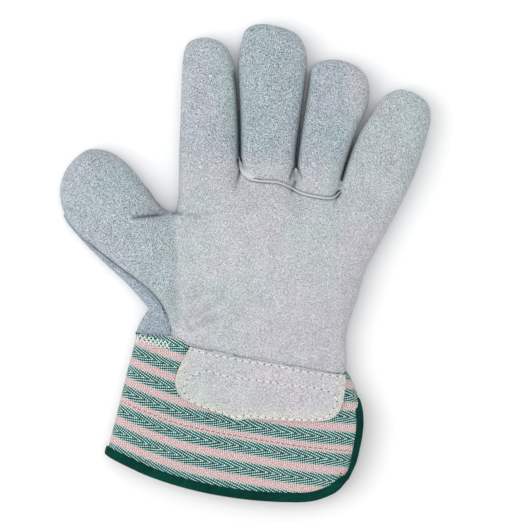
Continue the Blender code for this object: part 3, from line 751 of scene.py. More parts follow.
# Folds of the palm side: path, depth, width, and the share of the path over which each end fades
THUMB_CREASE = [(-40.5, 28.6), (-46.5, 28.0), (-54.0, 26.6), (-63.0, 25.0)]
FINGER_BASE_SEAM = [
    (-3.2, 59.0), (-1.4, 52.4), (1.6, 47.4), (8.0, 45.6), (18.0, 44.8), (25.0, 42.2), (31.0, 39.0),
    (41.0, 36.6), (48.6, 36.4), (53.4, 40.6),
]
FRONT_FOLDS = [
    (THUMB_CREASE, 2.4, 1.5, 0.25),
    ([(-41.0, 28.8), (-34.0, 28.0), (-27.5, 26.4)], 1.7, 1.6, 0.3),
    ([(-28.6, 26.6), (-26.2, 25.4)], 1.1, 3.0, 0),
    ([(-37.4, 26.0), (-37.8, 8.0), (-37.0, -12.0), (-36.2, -30.0), (-36.0, -42.0)], 0.7, 3.2, 0.2),
    ([(-38.0, -21.0), (-35.4, -24.0)], 0.9, 3.4, 0),
    ([(-36.0, -33.0), (-20.0, -23.0), (-2.0, -11.0)], 1.3, 2.0, 0.3),
    ([(-35.0, -20.5), (-20.0, -15.0), (-6.0, -12.5)], 1.1, 2.0, 0.3),
    ([(-37.0, -24.0), (-31.0, -31.0), (-27.0, -40.0)], 1.2, 2.0, 0.3),
    ([(-34.0, -38.0), (-22.0, -31.5), (-8.0, -27.0)], 1.2, 1.8, 0.3),
    ([(-34.0, -4.0), (-22.0, -8.0), (-8.0, -9.0)], 0.4, 3.0, 0.35),
    ([(-50.0, 20.0), (-46.0, 6.0), (-47.0, -9.0)], 0.5, 3.2, 0.3),
    ([(-60.0, 18.0), (-56.0, 6.0), (-58.0, -4.0)], 0.4, 3.4, 0.3),
    (FINGER_BASE_SEAM, 1.0, 1.1, 0.03),
    ([(13.0, 83.0), (19.0, 79.6), (25.0, 74.0)], 0.45, 1.8, 0.3),
    ([(3.4, 62.0), (6.6, 55.0), (11.0, 49.4)], 0.5, 1.2, 0.3),
    ([(2.0, 66.0), (8.0, 60.0)], 0.35, 1.4, 0.3),
    ([(34.0, 80.0), (41.0, 76.0), (50.0, 76.0)], 0.3, 2.0, 0.3),
    ([(28.0, 54.0), (25.0, 45.6)], 1.2, 0.8, 0.2),
    ([(28.2, 54.0), (31.8, 45.8)], 0.9, 0.8, 0.25),
]
PUCKERS = [
    (-47.0, 27.4, 62.0, 5.0), (-49.4, 27.0, 70.0, 6.4), (-51.8, 26.8, 82.0, 6.0),
    (-54.4, 26.4, 96.0, 7.0), (-57.4, 26.2, 112.0, 6.2), (-60.4, 26.2, 128.0, 5.4),
]
PUCKER_SHADE_LINES = []
for x, y, turn, reach in PUCKERS:
    step = (reach * math.cos(math.radians(turn)), reach * math.sin(math.radians(turn)))
    pucker = [(x - 0.5 * step[0], y - 0.5 * step[1]), (x + step[0], y + step[1])]
    FRONT_FOLDS.append((pucker, 0.45, 0.75, 0.3))
    # Each pucker also gets a faint line of painted shade
    PUCKER_SHADE_LINES.append((pucker, 0.2, 0.45, 0.4))
THUMB_SEAM_LINE = [
    (-40.6, -36.0), (-44.5, -24.3), (-51.0, -15.8), (-60.6, -7.8), (-70.6, -0.4), (-80.0, 7.0),
    (-89.6, 15.2),
]
# Lines of painted shade on the palm side, in its seams, creases and the gaps between the fingers: path,
# strength, width, and the share of the path over which each end fades
PAINTED_SHADE_LINES = [
    (THUMB_SEAM_LINE, 1.0, 0.7, 0.12),
    (THUMB_CREASE, 0.9, 0.8, 0.25),
    ([(-55.0, 44.0), (-50.0, 37.0), (-45.4, 30.4)], 0.9, 0.5, 0.2),
    ([(-41.0, 28.8), (-34.0, 28.4)], 0.6, 0.6, 0.3),
    ([(-28.6, 26.6), (-26.2, 25.4)], 0.35, 1.5, 0),
    ([(-2.9, 52.0), (-3.1, 64.0), (-3.4, 80.0), (-4.4, 97.0), (-6.0, 108.0)], 1.0, 1.5, 0.08),
    ([(28.4, 50.0), (28.6, 60.0), (31.4, 79.0), (34.0, 96.0), (35.2, 108.0)], 1.0, 1.6, 0.08),
    ([(52.4, 44.0), (56.4, 56.6), (62.0, 72.0)], 0.9, 1.2, 0.12),
    ([(28.0, 54.0), (25.0, 45.6)], 0.85, 0.75, 0.2),
    ([(28.2, 54.0), (31.8, 45.8)], 0.55, 0.75, 0.25),
    ([(-36.0, -34.0), (-20.0, -24.0), (-3.0, -12.0)], 0.24, 1.2, 0.3),
    ([(-34.0, -39.0), (-22.0, -32.5), (-8.0, -28.0)], 0.22, 1.1, 0.3),
    ([(-35.0, -21.5), (-20.0, -16.0), (-7.0, -13.5)], 0.16, 1.2, 0.3),
    ([(-37.6, 20.0), (-38.2, -2.0), (-37.4, -22.0), (-36.6, -40.0)], 0.12, 2.4, 0.2),
]
# Painted shade along both sides of the welt in the finger-base seam
for offset in (-0.85, 0.85):
    line = [(x, y + offset) for x, y in FINGER_BASE_SEAM]
    PAINTED_SHADE_LINES.append((line, 0.8, 0.45, 0.03))
PAINTED_SHADE_LINES += PUCKER_SHADE_LINES
BACK_FOLDS = [
    ([(-26.0, -37.0), (10.0, -43.0), (40.0, -47.0)], 1.0, 1.6, 0.1),
    ([(-2.4, 46.0), (-2.0, 20.0)], 0.5, 2.0, 0.4),
    ([(28.0, 42.0), (26.0, 16.0)], 0.5, 2.0, 0.4),
    ([(52.0, 38.0), (47.0, 14.0)], 0.5, 2.0, 0.4),
]


# ---------------------------------------------------------------- finishes


class Value:
    """A socket in a shader that takes part in arithmetic."""

    def __init__(self, finish, socket):
        self.finish = finish
        self.socket = socket

    def math(self, operation, *others):
        return self.finish.node("ShaderNodeMath", {"operation": operation}, dict(enumerate((self, *others))))

    def __add__(self, other):
        return self.math("ADD", other)

    def __sub__(self, other):
        return self.math("SUBTRACT", other)

    def __mul__(self, other):
        return self.math("MULTIPLY", other)


class Finish:
    """A material built from nodes. Its roughness and sheen are the same all over."""

    def __init__(self, name, roughness=0.9, sheen=0.0):
        self.material = bpy.data.materials.new(name)
        self.material.use_nodes = True
        self.tree = self.material.node_tree
        self.shader = self.tree.nodes["Principled BSDF"]
        self.shader.inputs["Roughness"].default_value = roughness
        self.shader.inputs["Sheen Weight"].default_value = sheen
        self.shader.inputs["Sheen Roughness"].default_value = 0.6
        self.shader.inputs["Specular IOR Level"].default_value = 0.3

    def node(self, kind, settings=None, inputs=None, output=0):
        """A new node with its settings, and its inputs set to numbers or linked to other values."""
        made = self.tree.nodes.new(kind)
        for key, value in (settings or {}).items():
            setattr(made, key, value)
        for key, value in (inputs or {}).items():
            if isinstance(value, Value):
                self.tree.links.new(value.socket, made.inputs[key])
            else:
                made.inputs[key].default_value = value
        return Value(self, made.outputs[output])

    def place(self, scale=(1.0, 1.0, 1.0), turn=0.0, uv=False):
        """Object coordinates, or the piece's own UV map in millimetres, scaled and turned about Z."""
        if uv:
            source = self.node("ShaderNodeUVMap", {"uv_map": "cloth"})
        else:
            source = self.node("ShaderNodeTexCoord", output=3)
        values = {"Vector": source, "Scale": scale, "Rotation": (0.0, 0.0, turn)}
        return self.node("ShaderNodeMapping", None, values)

    def noise(self, place, size, detail=2.0, rough=0.5, distortion=0.0):
        """Noise from 0 to 1 with features of about size metres on Object coordinates."""
        values = {"Vector": place, "Scale": 1 / size, "Detail": detail}
        values.update({"Roughness": rough, "Distortion": distortion})
        return self.node("ShaderNodeTexNoise", {"noise_dimensions": "3D"}, values)

    def ribs(self, place, direction, scale, distortion):
        """Even ribs that run across a direction."""
        settings = {"wave_type": "BANDS", "bands_direction": direction}
        values = {"Vector": place, "Scale": scale, "Distortion": distortion}
        return self.node("ShaderNodeTexWave", settings, values)

    def band(self, value, low, high):
        """0 below low, 1 above high, smooth between."""
        values = {"Value": value, "From Min": low, "From Max": high}
        return self.node("ShaderNodeMapRange", {"interpolation_type": "SMOOTHSTEP"}, values)

    def blend(self, share, a, b, kind="MIX"):
        settings = {"data_type": "RGBA", "blend_type": kind}
        a, b = (x if isinstance(x, Value) else (*x, 1.0) for x in (a, b))
        return self.node("ShaderNodeMix", settings, {0: share, 6: a, 7: b}, output=2)

    def shade_by(self, colour, share):
        """The colour made darker or lighter by a number."""
        grey = self.node("ShaderNodeCombineColor", None, {0: share, 1: share, 2: share})
        return self.blend(1.0, colour, grey, "MULTIPLY")

    def bump(self, height, depth):
        return self.node("ShaderNodeBump", None, {"Height": height, "Distance": depth, "Strength": 1.0})

    def paint(self, colour, normal=None):
        for name, value in (("Base Color", colour), ("Normal", normal)):
            if value is not None:
                self.tree.links.new(value.socket, self.shader.inputs[name])
        return self.material


COOL_CAST, WARM_CAST = (0.95, 1.01, 1.00), (1.02, 0.99, 1.03)
# Colour of the painted shade in the leather's creases, seams and finger gaps
CREASE_SHADE_COLOUR = (0.030, 0.085, 0.090)
STRIPE_PITCH = 11.9  # from one pink stripe to the next, down the cuff
PINK_HALF = 2.05  # half a pink stripe's width
TWILL_PITCH, PICK_PITCH = 1.35, 1.15  # from yarn to yarn, across and along the slant
DOT_PITCH, DASH_PITCH = 1.5, 3.0  # pale dots beside the pink, and dark dashes in one stripe
MARKED_STRIPE = 3  # the pink stripe with the dashes, counted from the top one as 0


def suede(name, pale, deep=None, contrast=1.0, deep_grain=0.75, depth=0.00018):
    """Split leather: a short nap that drifts between cool and warm, pale at tone 0 and deep at tone 1, with
    painted shade where the crease attribute is set.
    """
    finish = Finish(name, roughness=0.95, sheen=0.08)
    place = finish.place()
    tone = finish.node("ShaderNodeAttribute", {"attribute_name": "tone"}, output=2)
    crease = finish.node("ShaderNodeAttribute", {"attribute_name": "crease"}, output=2)
    drift = finish.band(finish.noise(place, 0.034, 2.0, 0.55), 0.36, 0.64)
    cloud = finish.noise(place, 0.011, 3.0, 0.6)
    nap = finish.band(finish.noise(place, 0.00048, 2.0, 0.8), 0.38, 0.62)
    fibre = finish.band(finish.noise(finish.place((1.0, 0.5, 1.0), 0.6), 0.00044, 2.0, 0.8, 0.6), 0.36, 0.64)
    pits = finish.band(finish.noise(place, 0.0016, 2.0, 0.6), 0.38, 0.30)
    own = finish.blend(tone, pale, deep or pale)
    own = finish.blend(1.0, own, finish.blend(drift, COOL_CAST, WARM_CAST), "MULTIPLY")
    grain = (nap - 0.5) * 0.56 + (fibre - 0.5) * 0.44 - pits * 0.12
    grain = grain * (tone * deep_grain + 1.15) * contrast
    own = finish.shade_by(own, (cloud - 0.5) * 0.30 + grain + 1.0)
    # Painted shade: the crease attribute mixes the colour toward the dark crease colour
    colour = finish.blend(crease * (fibre * 0.4 + 0.65), own, CREASE_SHADE_COLOUR)
    normal = finish.bump(nap * 0.6 + fibre * 0.4 + cloud * 1.5, depth)
    return finish.paint(colour, normal)


def striped_canvas():
    """Herringbone canvas: teal bands with mint yarn, and pink bands between them, on the cloth's own map."""
    finish = Finish("striped_canvas", roughness=0.85, sheen=0.15)
    place = finish.place(uv=True)
    u = finish.node("ShaderNodeSeparateXYZ", None, {0: place})
    v = Value(finish, u.socket.node.outputs[1])
    from_pink = v.math("PINGPONG", STRIPE_PITCH / 2)
    drift = finish.noise(place, 14.0, 2.0) * 2.2
    fuzz = finish.noise(place, 0.6, 2.0, 0.7)
    ply = (u * 0.30 + from_pink * 0.95 + drift) * (2 * math.pi / TWILL_PITCH)
    beads = (u * 0.95 - from_pink * 0.30 + fuzz) * (2 * math.pi / PICK_PITCH)
    twill = ply.math("SINE")
    pick = beads.math("SINE")
    woven = twill + pick * 0.55 + (fuzz - 0.5) * 1.4
    shade = finish.noise(place, 6.0, 3.0)
    teal = finish.blend(finish.band(shade, 0.35, 0.65), (0.003, 0.115, 0.102), (0.010, 0.195, 0.172))
    teal = finish.blend(finish.band(woven, -0.15, -0.85), teal, (0.002, 0.014, 0.016))
    green = finish.blend(finish.band(woven, 0.5, 1.2), teal, (0.78, 0.93, 0.90))
    speckle = finish.band(pick * 0.5 + twill * 0.25 + (fuzz - 0.5) * 3.4, -0.5, 0.8)
    pink = finish.blend(speckle, (0.44, 0.25, 0.26), (0.78, 0.68, 0.65))
    in_pink = finish.band(from_pink + (fuzz - 0.5) * 0.9, PINK_HALF + 0.25, PINK_HALF - 0.25)
    colour = finish.blend(in_pink, green, pink)
    border = finish.band((from_pink - PINK_HALF - 0.35).math("ABSOLUTE"), 0.42, 0.18)
    dots = finish.band((u * (2 * math.pi / DOT_PITCH)).math("SINE"), -0.1, 0.3)
    colour = finish.blend(border * dots * 0.8, colour, (0.55, 0.68, 0.66))
    thread = finish.band((v - MARKED_STRIPE * STRIPE_PITCH - 0.6).math("ABSOLUTE"), 0.30, 0.16)
    dashes = finish.band((u * (2 * math.pi / DASH_PITCH)).math("SINE"), -0.5, -0.2)
    colour = finish.blend(thread * dashes * 0.85, colour, (0.05, 0.05, 0.05))
    weave = twill * 0.5 + pick * 0.35 + fuzz
    return finish.paint(colour, finish.bump(weave, 0.00016))


def green_tape():
    finish = Finish("green_tape", roughness=0.9)
    finish.shader.inputs["Specular IOR Level"].default_value = 0.08
    place = finish.place()
    ribs = finish.ribs(place, "DIAGONAL", 260.0, 1.5)
    fuzz = finish.noise(place, 0.0009, 2.0, 0.7)
    drift = finish.noise(place, 0.012, 2.0)
    worn = finish.band(fuzz + (drift - 0.5) * 0.8, 0.3, 0.75)
    colour = finish.blend(worn, (0.0003, 0.026, 0.019), (0.0015, 0.052, 0.038))
    return finish.paint(colour, finish.bump(ribs * 0.5 + fuzz, 0.0002))


def cotton(name, colour, shade, size=0.0009):
    """Plain woven cotton: warp and weft, with slubs."""
    finish = Finish(name, roughness=0.95, sheen=0.2)
    place = finish.place()
    warp = finish.ribs(place, "X", 0.32 / size, 0.6)
    weft = finish.ribs(place, "Y", 0.32 / size, 0.6)
    slub = finish.noise(place, 0.004, 3.0, 0.6)
    weave = warp * weft
    mixed = finish.blend(finish.band(weave * 0.6 + slub, 0.35, 1.0), shade, colour)
    return finish.paint(mixed, finish.bump(weave + slub * 0.5, 0.0002))


def thread_finish(name, colour, shade):
    finish = Finish(name, roughness=0.7, sheen=0.1)
    twist = finish.noise(finish.place((1.0, 2.5, 1.0), 0.7), 0.0007, 1.0)
    mixed = finish.blend(finish.band(twist, 0.35, 0.65), shade, colour)
    return finish.paint(mixed, finish.bump(twist, 0.0001))


# ---------------------------------------------------------------- cuff

CUFF_TOP_EDGE = [
    (-60.2, -37.9), (-50.0, -38.7), (-40.4, -39.6), (-30.0, -42.4), (-6.0, -47.8), (14.0, -51.2),
    (29.4, -54.4), (43.7, -57.2), (56.2, -58.6),
]
CUFF_FOLD_EDGE = [
    (-60.2, -37.9), (-62.6, -48.0), (-65.6, -58.6), (-68.6, -71.0), (-71.8, -84.0), (-75.4, -98.0),
    (-76.4, -104.2),
]
CUFF_BOTTOM_EDGE = [
    (-76.4, -104.2), (-65.0, -109.8), (-51.5, -115.9), (-33.0, -121.9), (-14.0, -126.1), (4.0, -128.6),
    (22.0, -129.7), (37.0, -129.2), (49.0, -124.9), (57.0, -117.6),
]
CUFF_SPLIT_EDGE = [
    (56.2, -58.6), (59.0, -63.8), (61.4, -70.0), (63.8, -76.4), (64.9, -84.0), (64.6, -92.0),
    (63.2, -100.0), (61.0, -109.0), (57.0, -117.6),
]
STRIPE_LINE = [
    (-84.0, -66.4), (-69.6, -73.6), (-54.7, -80.2), (-38.2, -86.2), (-24.5, -89.7), (-8.0, -92.9),
    (8.5, -95.7), (25.0, -98.4), (41.5, -100.4), (58.0, -101.8), (74.0, -103.0),
]
CUFF_TOP_Z = 18.0  # height of the palm side's cloth
CUFF_BACK_Z = 0.9  # and of the back's
FOLD_REACH = {1: 13.0, -1: 9.0}  # how far each side takes to become flat from the fold
SPLIT_REACH = 11.0  # and from the split
SPLIT_EDGE_Z = {1: 15.2, -1: 1.2}  # height of the split's two edges at the mouth
SPLIT_SEWN = 0.6  # half of what parts them where they are still sewn
CUFF_ROWS, CUFF_FRONT_COLUMNS, CUFF_BACK_COLUMNS = 76, 96, 72
SPLIT_ROW = 21  # the row where the split starts
CUFF_CLOTH = 0.7  # thickness of the striped cloth
CUFF_LINING = 0.9  # thickness of the lining with the core
CUFF_INSIDE = 1.7  # how far the lining lies inside the cloth's outside
THUMB_TUCK = 5.2  # how far the cloth's top corner at the thumb goes down
SPLIT_TUCK = 3.0  # how far the one at the split goes under the leather
CLOTH_WAVES = (11.0, 0.7)  # seed and height of the cloth's unevenness
TAPE_WIDTHS = (2.6, 4.3, 4.5)  # how far the tape comes in at its ends, along the split and at the mouth
# The folded tape's section: reach in from the cloth's edge, and rise over its outside
TAPE_SECTION = [
    (5.0, 0.10), (4.8, 0.62), (3.2, 0.78), (1.3, 0.80), (0.3, 0.62), (-0.45, 0.10), (-0.8, -0.8),
    (-0.8, -1.8), (-0.4, -2.7), (0.4, -3.15), (1.3, -3.3), (3.2, -3.25), (5.0, -3.1), (5.0, -2.55),
    (3.2, -2.7), (1.3, -2.65), (0.5, -2.2), (0.4, -0.7), (1.3, -0.02), (3.2, 0.0),
]


def coons(top, bottom, left, right):
    """A plan grid between four edges. top and bottom run from left to right, left and right from top down."""
    rows, columns = len(left), len(top)
    t = np.linspace(0, 1, rows)[:, None, None]
    s = np.linspace(0, 1, columns)[None, :, None]
    across = mix(left[:, None], right[:, None], s)
    down = mix(top[None], bottom[None], t)
    corners = mix(mix(top[0], top[-1], s), mix(bottom[0], bottom[-1], s), t)
    return across + down - corners


def cuff_rows(inset=0.0):
    """Rows of the cuff from the wrist down, each from the split over the palm side, round the fold and back.

    inset moves the rows in from the cloth, for the lining.
    """
    front = cuff_side(1, CUFF_FRONT_COLUMNS, inset)
    back = cuff_side(-1, CUFF_BACK_COLUMNS, inset)
    return np.concatenate([front[:, ::-1], back[:, 1:]], axis=1)


def cuff_side(side, columns, inset):
    """One side of the cuff, each row from the fold to the split."""
    fold, split = evenly(CUFF_FOLD_EDGE, CUFF_ROWS), evenly(CUFF_SPLIT_EDGE, CUFF_ROWS)
    plan = coons(evenly(CUFF_TOP_EDGE, columns), evenly(CUFF_BOTTOM_EDGE, columns), fold, split)
    t = np.linspace(0, 1, CUFF_ROWS + 1)[:, None]
    from_fold = np.linalg.norm(plan - plan[:, :1], axis=2)
    from_split = np.linalg.norm(plan - plan[:, -1:], axis=2)
    opened = smooth((t - SPLIT_ROW / CUFF_ROWS + 0.03) / 0.16)
    if side > 0:
        low_corner = (1 - smooth((plan[:, :, 0] + 50) / 14)) * (1 - smooth(t / 0.25))
        tucked = (1 - smooth(from_split / 28)) * (1 - smooth(t / 0.1))
        flat = CUFF_TOP_Z - THUMB_TUCK * low_corner - SPLIT_TUCK * tucked - inset
    else:
        flat = CUFF_BACK_Z + inset
    rise = rounded(from_fold / FOLD_REACH[side], CUFF_SECTION)
    z = SEAM_Z + (flat - SEAM_Z) * rise
    split_z = mix(SEAM_Z + side * SPLIT_SEWN, SPLIT_EDGE_Z[side], opened)
    split_z = np.minimum(split_z, z) if side > 0 else np.maximum(split_z, z)
    z = mix(split_z, z, rounded(from_split / SPLIT_REACH, CUFF_SECTION))
    plan[:, :, 0] += inset * np.clip(1 - np.linspace(0, 8, columns + 1), 0, 1)
    return with_heights(plan, z)


def waves(rows, seed, depth):
    """A little unevenness in a cloth's height."""
    moved = rows.copy()
    for index in np.ndindex(rows.shape[:2]):
        x, y, _ = rows[index]
        moved[index][2] += depth * noise.noise(Vector((x / 19, y / 19, seed)))
    return moved


def smooth_rows(rows, rounds):
    """Rounds off the kinks of a grid of points, keeping its border."""
    rows = rows.copy()
    for _ in range(rounds):
        inner = (rows[:-2, 1:-1] + rows[2:, 1:-1] + rows[1:-1, :-2] + rows[1:-1, 2:]) / 4
        rows[1:-1, 1:-1] = mix(rows[1:-1, 1:-1], inner, 0.5)
    return rows


def stripe_map(obj, rows):
    """The cloth's map in millimetres: along the stripes, and across them."""
    run = np.zeros(rows.shape[:2])
    run[:, 1:] = np.cumsum(np.linalg.norm(np.diff(rows, axis=1), axis=2), axis=1)
    run -= run[:, CUFF_FRONT_COLUMNS : CUFF_FRONT_COLUMNS + 1]
    line = evenly(STRIPE_LINE, 200)
    across = np.interp(rows[:, :, 0], line[:, 0], line[:, 1]) - rows[:, :, 1]
    across += MARKED_STRIPE * STRIPE_PITCH
    uv = np.stack([run, across], axis=2).reshape(-1, 2)
    layer = obj.data.uv_layers.new(name="cloth")
    vertices = np.zeros(len(obj.data.loops), np.int32)
    obj.data.loops.foreach_get("vertex_index", vertices)
    layer.data.foreach_set("uv", uv[vertices].astype(np.float32).ravel())


def edge_of_cuff(rows):
    """The free edge, from the palm side's split round the mouth to the back's: places, inward, outward."""
    split = rows[SPLIT_ROW:CUFF_ROWS]
    places = np.concatenate([split[:, 0], rows[-1], split[::-1, -1]])
    front_in, back_in = split[:, 3] - split[:, 0], split[:, -4] - split[:, -1]
    inward = np.concatenate([front_in, rows[-4] - rows[-1], back_in[::-1]])
    along = np.gradient(places, axis=0)
    along /= np.linalg.norm(along, axis=1)[:, None]
    for _ in range(6):
        inward[1:-1] = (inward[:-2] + inward[1:-1] * 2 + inward[2:]) / 4
    inward -= (inward * along).sum(axis=1)[:, None] * along
    inward /= np.linalg.norm(inward, axis=1)[:, None]
    outward = np.cross(inward, along)
    return places, inward, outward


def build_binding(rows, look):
    """Tape folded over the cuff's free edge, narrower along the split and at its ends."""
    places, inward, outward = edge_of_cuff(rows)
    run = lengths(places)
    from_end = np.minimum(run, run[-1] - run)
    at_end, at_split, at_mouth = TAPE_WIDTHS
    width = mix(at_end, at_split, smooth(from_end / 9))
    width = mix(width, at_mouth, smooth((from_end - 22) / 30))
    points = []
    for reach, rise in TAPE_SECTION + TAPE_SECTION[:1]:
        follows_width = reach > 1.5
        depth = width * reach / TAPE_SECTION[0][0] if follows_width else np.full(len(run), reach)
        points.append(places + inward * depth[:, None] + outward * rise)
    obj = grid("cuff_binding_tape", np.stack(points, axis=1))
    finish_solid(obj, look)
    return obj


def finish_solid(obj, look):
    """Welds a closed grid, caps its ends and turns its faces outwards."""
    bm = bmesh.new()
    bm.from_mesh(obj.data)
    bmesh.ops.remove_doubles(bm, verts=bm.verts, dist=0.02 * MM)
    bmesh.ops.holes_fill(bm, edges=[e for e in bm.edges if e.is_boundary], sides=0)
    bmesh.ops.triangulate(bm, faces=[f for f in bm.faces if len(f.verts) > 4])
    bmesh.ops.recalc_face_normals(bm, faces=bm.faces)
    bm.to_mesh(obj.data)
    bm.free()
    obj.data.shade_smooth()
    deselect_all()
    obj.select_set(True)
    bpy.context.view_layer.objects.active = obj
    bpy.ops.object.shade_smooth_by_angle(angle=math.radians(50))
    paint(obj, look)


def paint(obj, look):
    obj.data.materials.clear()
    obj.data.materials.append(look)


def build_sheet(name, rows, thickness, look, outside=1):
    """A sheet of some thickness through rows of points, its outside up (1) or down (-1)."""
    obj = grid(name, rows)
    mesh = obj.data
    mesh.update()
    if sum(p.normal.z * p.area for p in mesh.polygons) * outside < 0:
        mesh.flip_normals()
    thicken(obj, thickness)
    deselect_all()
    obj.select_set(True)
    bpy.context.view_layer.objects.active = obj
    bpy.ops.object.shade_smooth_by_angle(angle=math.radians(50))
    paint(obj, look)
    return obj


# ---------------------------------------------------------------- patch, stitches, welt and small pieces

THREAD = 0.29  # radius of a stitch
STITCH_PITCH = 4.0
NEEDLE_HOLE = (0.85, 0.36)  # length and radius
PATCH_COLUMNS, PATCH_ROWS = 70, 34
PATCH_GAP = 0.35  # between the patch and the cloth
PATCH_DIP = 0.3
PATCH_RIM = 5.0  # width of the paler rim
PATCH_LEFT = [
    (-29.6, -45.2), (-33.8, -52.6), (-37.0, -60.0), (-37.8, -66.6), (-35.0, -72.6), (-28.4, -76.4),
    (-20.0, -79.6),
]
PATCH_RIGHT = [(55.6, -60.8), (55.2, -68.0), (53.8, -76.2), (51.0, -82.2), (45.8, -85.4), (38.0, -86.2)]
PATCH_BOTTOM = [(-20.0, -79.6), (-10.0, -83.0), (-3.0, -85.7), (2.6, -84.6), (22.8, -85.9), (38.0, -86.2)]
PATCH_HEM = [
    (-29.6, -44.6), (-19.0, -47.1), (-6.0, -49.9), (14.0, -53.3), (29.4, -56.5), (43.7, -58.8),
    (55.4, -60.4),
]
# Where the patch's closed row of stitches runs: shares across and down it
PATCH_STITCH_TRACK = [
    (0.16, 0.24), (0.35, 0.26), (0.6, 0.26), (0.84, 0.25), (0.955, 0.34), (0.955, 0.55), (0.93, 0.76),
    (0.8, 0.86), (0.6, 0.87), (0.4, 0.87), (0.2, 0.88), (0.075, 0.84), (0.05, 0.62), (0.065, 0.4),
    (0.16, 0.24),
]
STRAP_SIZE, STRAP_TURN = (84.0, 26.0), math.radians(-6.0)
STRAP_Z = 0.35
ELASTIC_SIZE, ELASTIC_TURN = (56.0, 8.6), math.radians(-10.3)
ELASTIC_GATHERS = 30
ELASTIC_GRID = (112, 8)  # columns and rows
OVERCAST_COUNT = 8
OVERCAST_RUN = (0.012, 0.168)  # shares across the cloth, from its fold
OVERCAST_ROWS = (0.038, 0.07)  # shares down the cloth
OVERCAST_STITCH = (6.4, 0.3)  # length and radius


def height_over(rows, plan):
    """Height of the grid of points nearest to each place in plan."""
    flat = rows.reshape(-1, 3)
    heights_found = np.zeros(plan.shape[:-1])
    for index in np.ndindex(plan.shape[:-1]):
        far = ((flat[:, :2] - plan[index][:2]) ** 2).sum(axis=1)
        near = np.argpartition(far, 4)[:4]
        weight = 1 / (far[near] + 0.01)
        heights_found[index] = (flat[near, 2] * weight).sum() / weight.sum()
    return heights_found


def patch_rows(cloth):
    """Rows of the patch's outside, which lies on the cloth and dips a little at its hem."""
    top, bottom = evenly(PATCH_HEM, PATCH_COLUMNS), evenly(PATCH_BOTTOM, PATCH_COLUMNS)
    plan = coons(top, bottom, evenly(PATCH_LEFT, PATCH_ROWS), evenly(PATCH_RIGHT, PATCH_ROWS))
    z = height_over(cloth[:, : CUFF_FRONT_COLUMNS + 1], plan) + PATCH_GAP + LEATHER
    t = np.linspace(0, 1, PATCH_ROWS + 1)[:, None]
    z -= PATCH_DIP * (1 - smooth(t / 0.08))
    return smooth_rows(with_heights(plan, z), 3)


def place_on(rows, across, along):
    """A point of a grid of points, at shares across and along it."""
    j, k = along * (rows.shape[0] - 1), across * (rows.shape[1] - 1)
    j0, k0 = min(int(j), rows.shape[0] - 2), min(int(k), rows.shape[1] - 2)
    low = mix(rows[j0, k0], rows[j0, k0 + 1], k - k0)
    high = mix(rows[j0 + 1, k0], rows[j0 + 1, k0 + 1], k - k0)
    return mix(low, high, j - j0)


def one_stitch(length, radius):
    """The corners and faces of one stitch: a short thread that dips into the leather at both ends."""
    deselect_all()
    lying = (0.0, math.pi / 2, 0.0)
    bpy.ops.mesh.primitive_uv_sphere_add(segments=6, ring_count=6, radius=1.0, rotation=lying)
    obj = bpy.context.object
    bpy.ops.object.transform_apply(rotation=True)
    points = np.array([v.co for v in obj.data.vertices])
    faces = [tuple(p.vertices) for p in obj.data.polygons]
    bpy.data.objects.remove(obj)
    points[:, 0] = np.sign(points[:, 0]) * np.abs(points[:, 0]) ** 0.7 * length / 2
    points[:, 1:] *= radius
    points[:, 2] -= radius * 1.6 * (np.abs(points[:, 0]) / (length / 2)) ** 3
    return points, faces


def copies(name, shape, frames, look):
    """One mesh with a copy of the shape at every frame: a place and the ways along, across and up."""
    points, faces = shape
    corners, polygons = [], []
    for k, (place, along, up) in enumerate(frames):
        across = np.cross(up, along)
        corners.append(place + points[:, :1] * along + points[:, 1:2] * across + points[:, 2:] * up)
        polygons += [tuple(v + k * len(points) for v in face) for face in faces]
    mesh = bpy.data.meshes.new(name)
    mesh.from_pydata((np.concatenate(corners) * MM).tolist(), [], polygons)
    mesh.shade_smooth()
    obj = bpy.data.objects.new(name, mesh)
    bpy.context.scene.collection.objects.link(obj)
    paint(obj, look)
    return obj


def stitch_frames(path, lift):
    """A frame for every stitch along a path of points with their ups."""
    places, ups = path
    run = lengths(places)
    count = max(1, round(run[-1] / STITCH_PITCH))

    def at(values, step):
        where = step / count * run[-1]
        return np.array([np.interp(where, run, values[:, axis]) for axis in range(3)])

    frames = []
    for k in range(count):
        start, end = at(places, k + 0.12), at(places, k + 0.88)
        along = (end - start) / np.linalg.norm(end - start)
        up = at(ups, k + 0.5)
        up -= (up @ along) * along
        up /= np.linalg.norm(up)
        frames.append(((start + end) / 2 + up * lift, along, up))
    return frames


def surface_path(rows, track):
    """Points and upward directions along a track of shares across and along a grid of points."""
    track = evenly(track, 160)
    places = np.array([place_on(rows, u, v) for u, v in track])
    ups = []
    for u, v in track:
        du = place_on(rows, min(1, u + 0.02), v) - place_on(rows, max(0, u - 0.02), v)
        dv = place_on(rows, u, min(1, v + 0.03)) - place_on(rows, u, max(0, v - 0.03))
        up = np.cross(du, dv)
        ups.append(up / np.linalg.norm(up) * (1 if up[2] > 0 else -1))
    return places, np.array(ups)


def stitch_line(name, paths, body, thread, dark):
    """Lock stitches along some paths, with a near-black mark of painted shade for the needle hole at each
    end.
    """
    frames = [frame for path in paths for frame in stitch_frames(path, THREAD * 0.3)]
    stitches = copies(name, one_stitch(STITCH_PITCH * 0.8, THREAD), frames, thread)
    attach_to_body(stitches, body)
    holes = []
    for place, along, up in frames:
        holes.append((place - along * STITCH_PITCH / 2 - up * THREAD * 0.25, along, up))
    marks = copies(name + "_holes", one_stitch(*NEEDLE_HOLE), holes, dark)
    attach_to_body(marks, body)


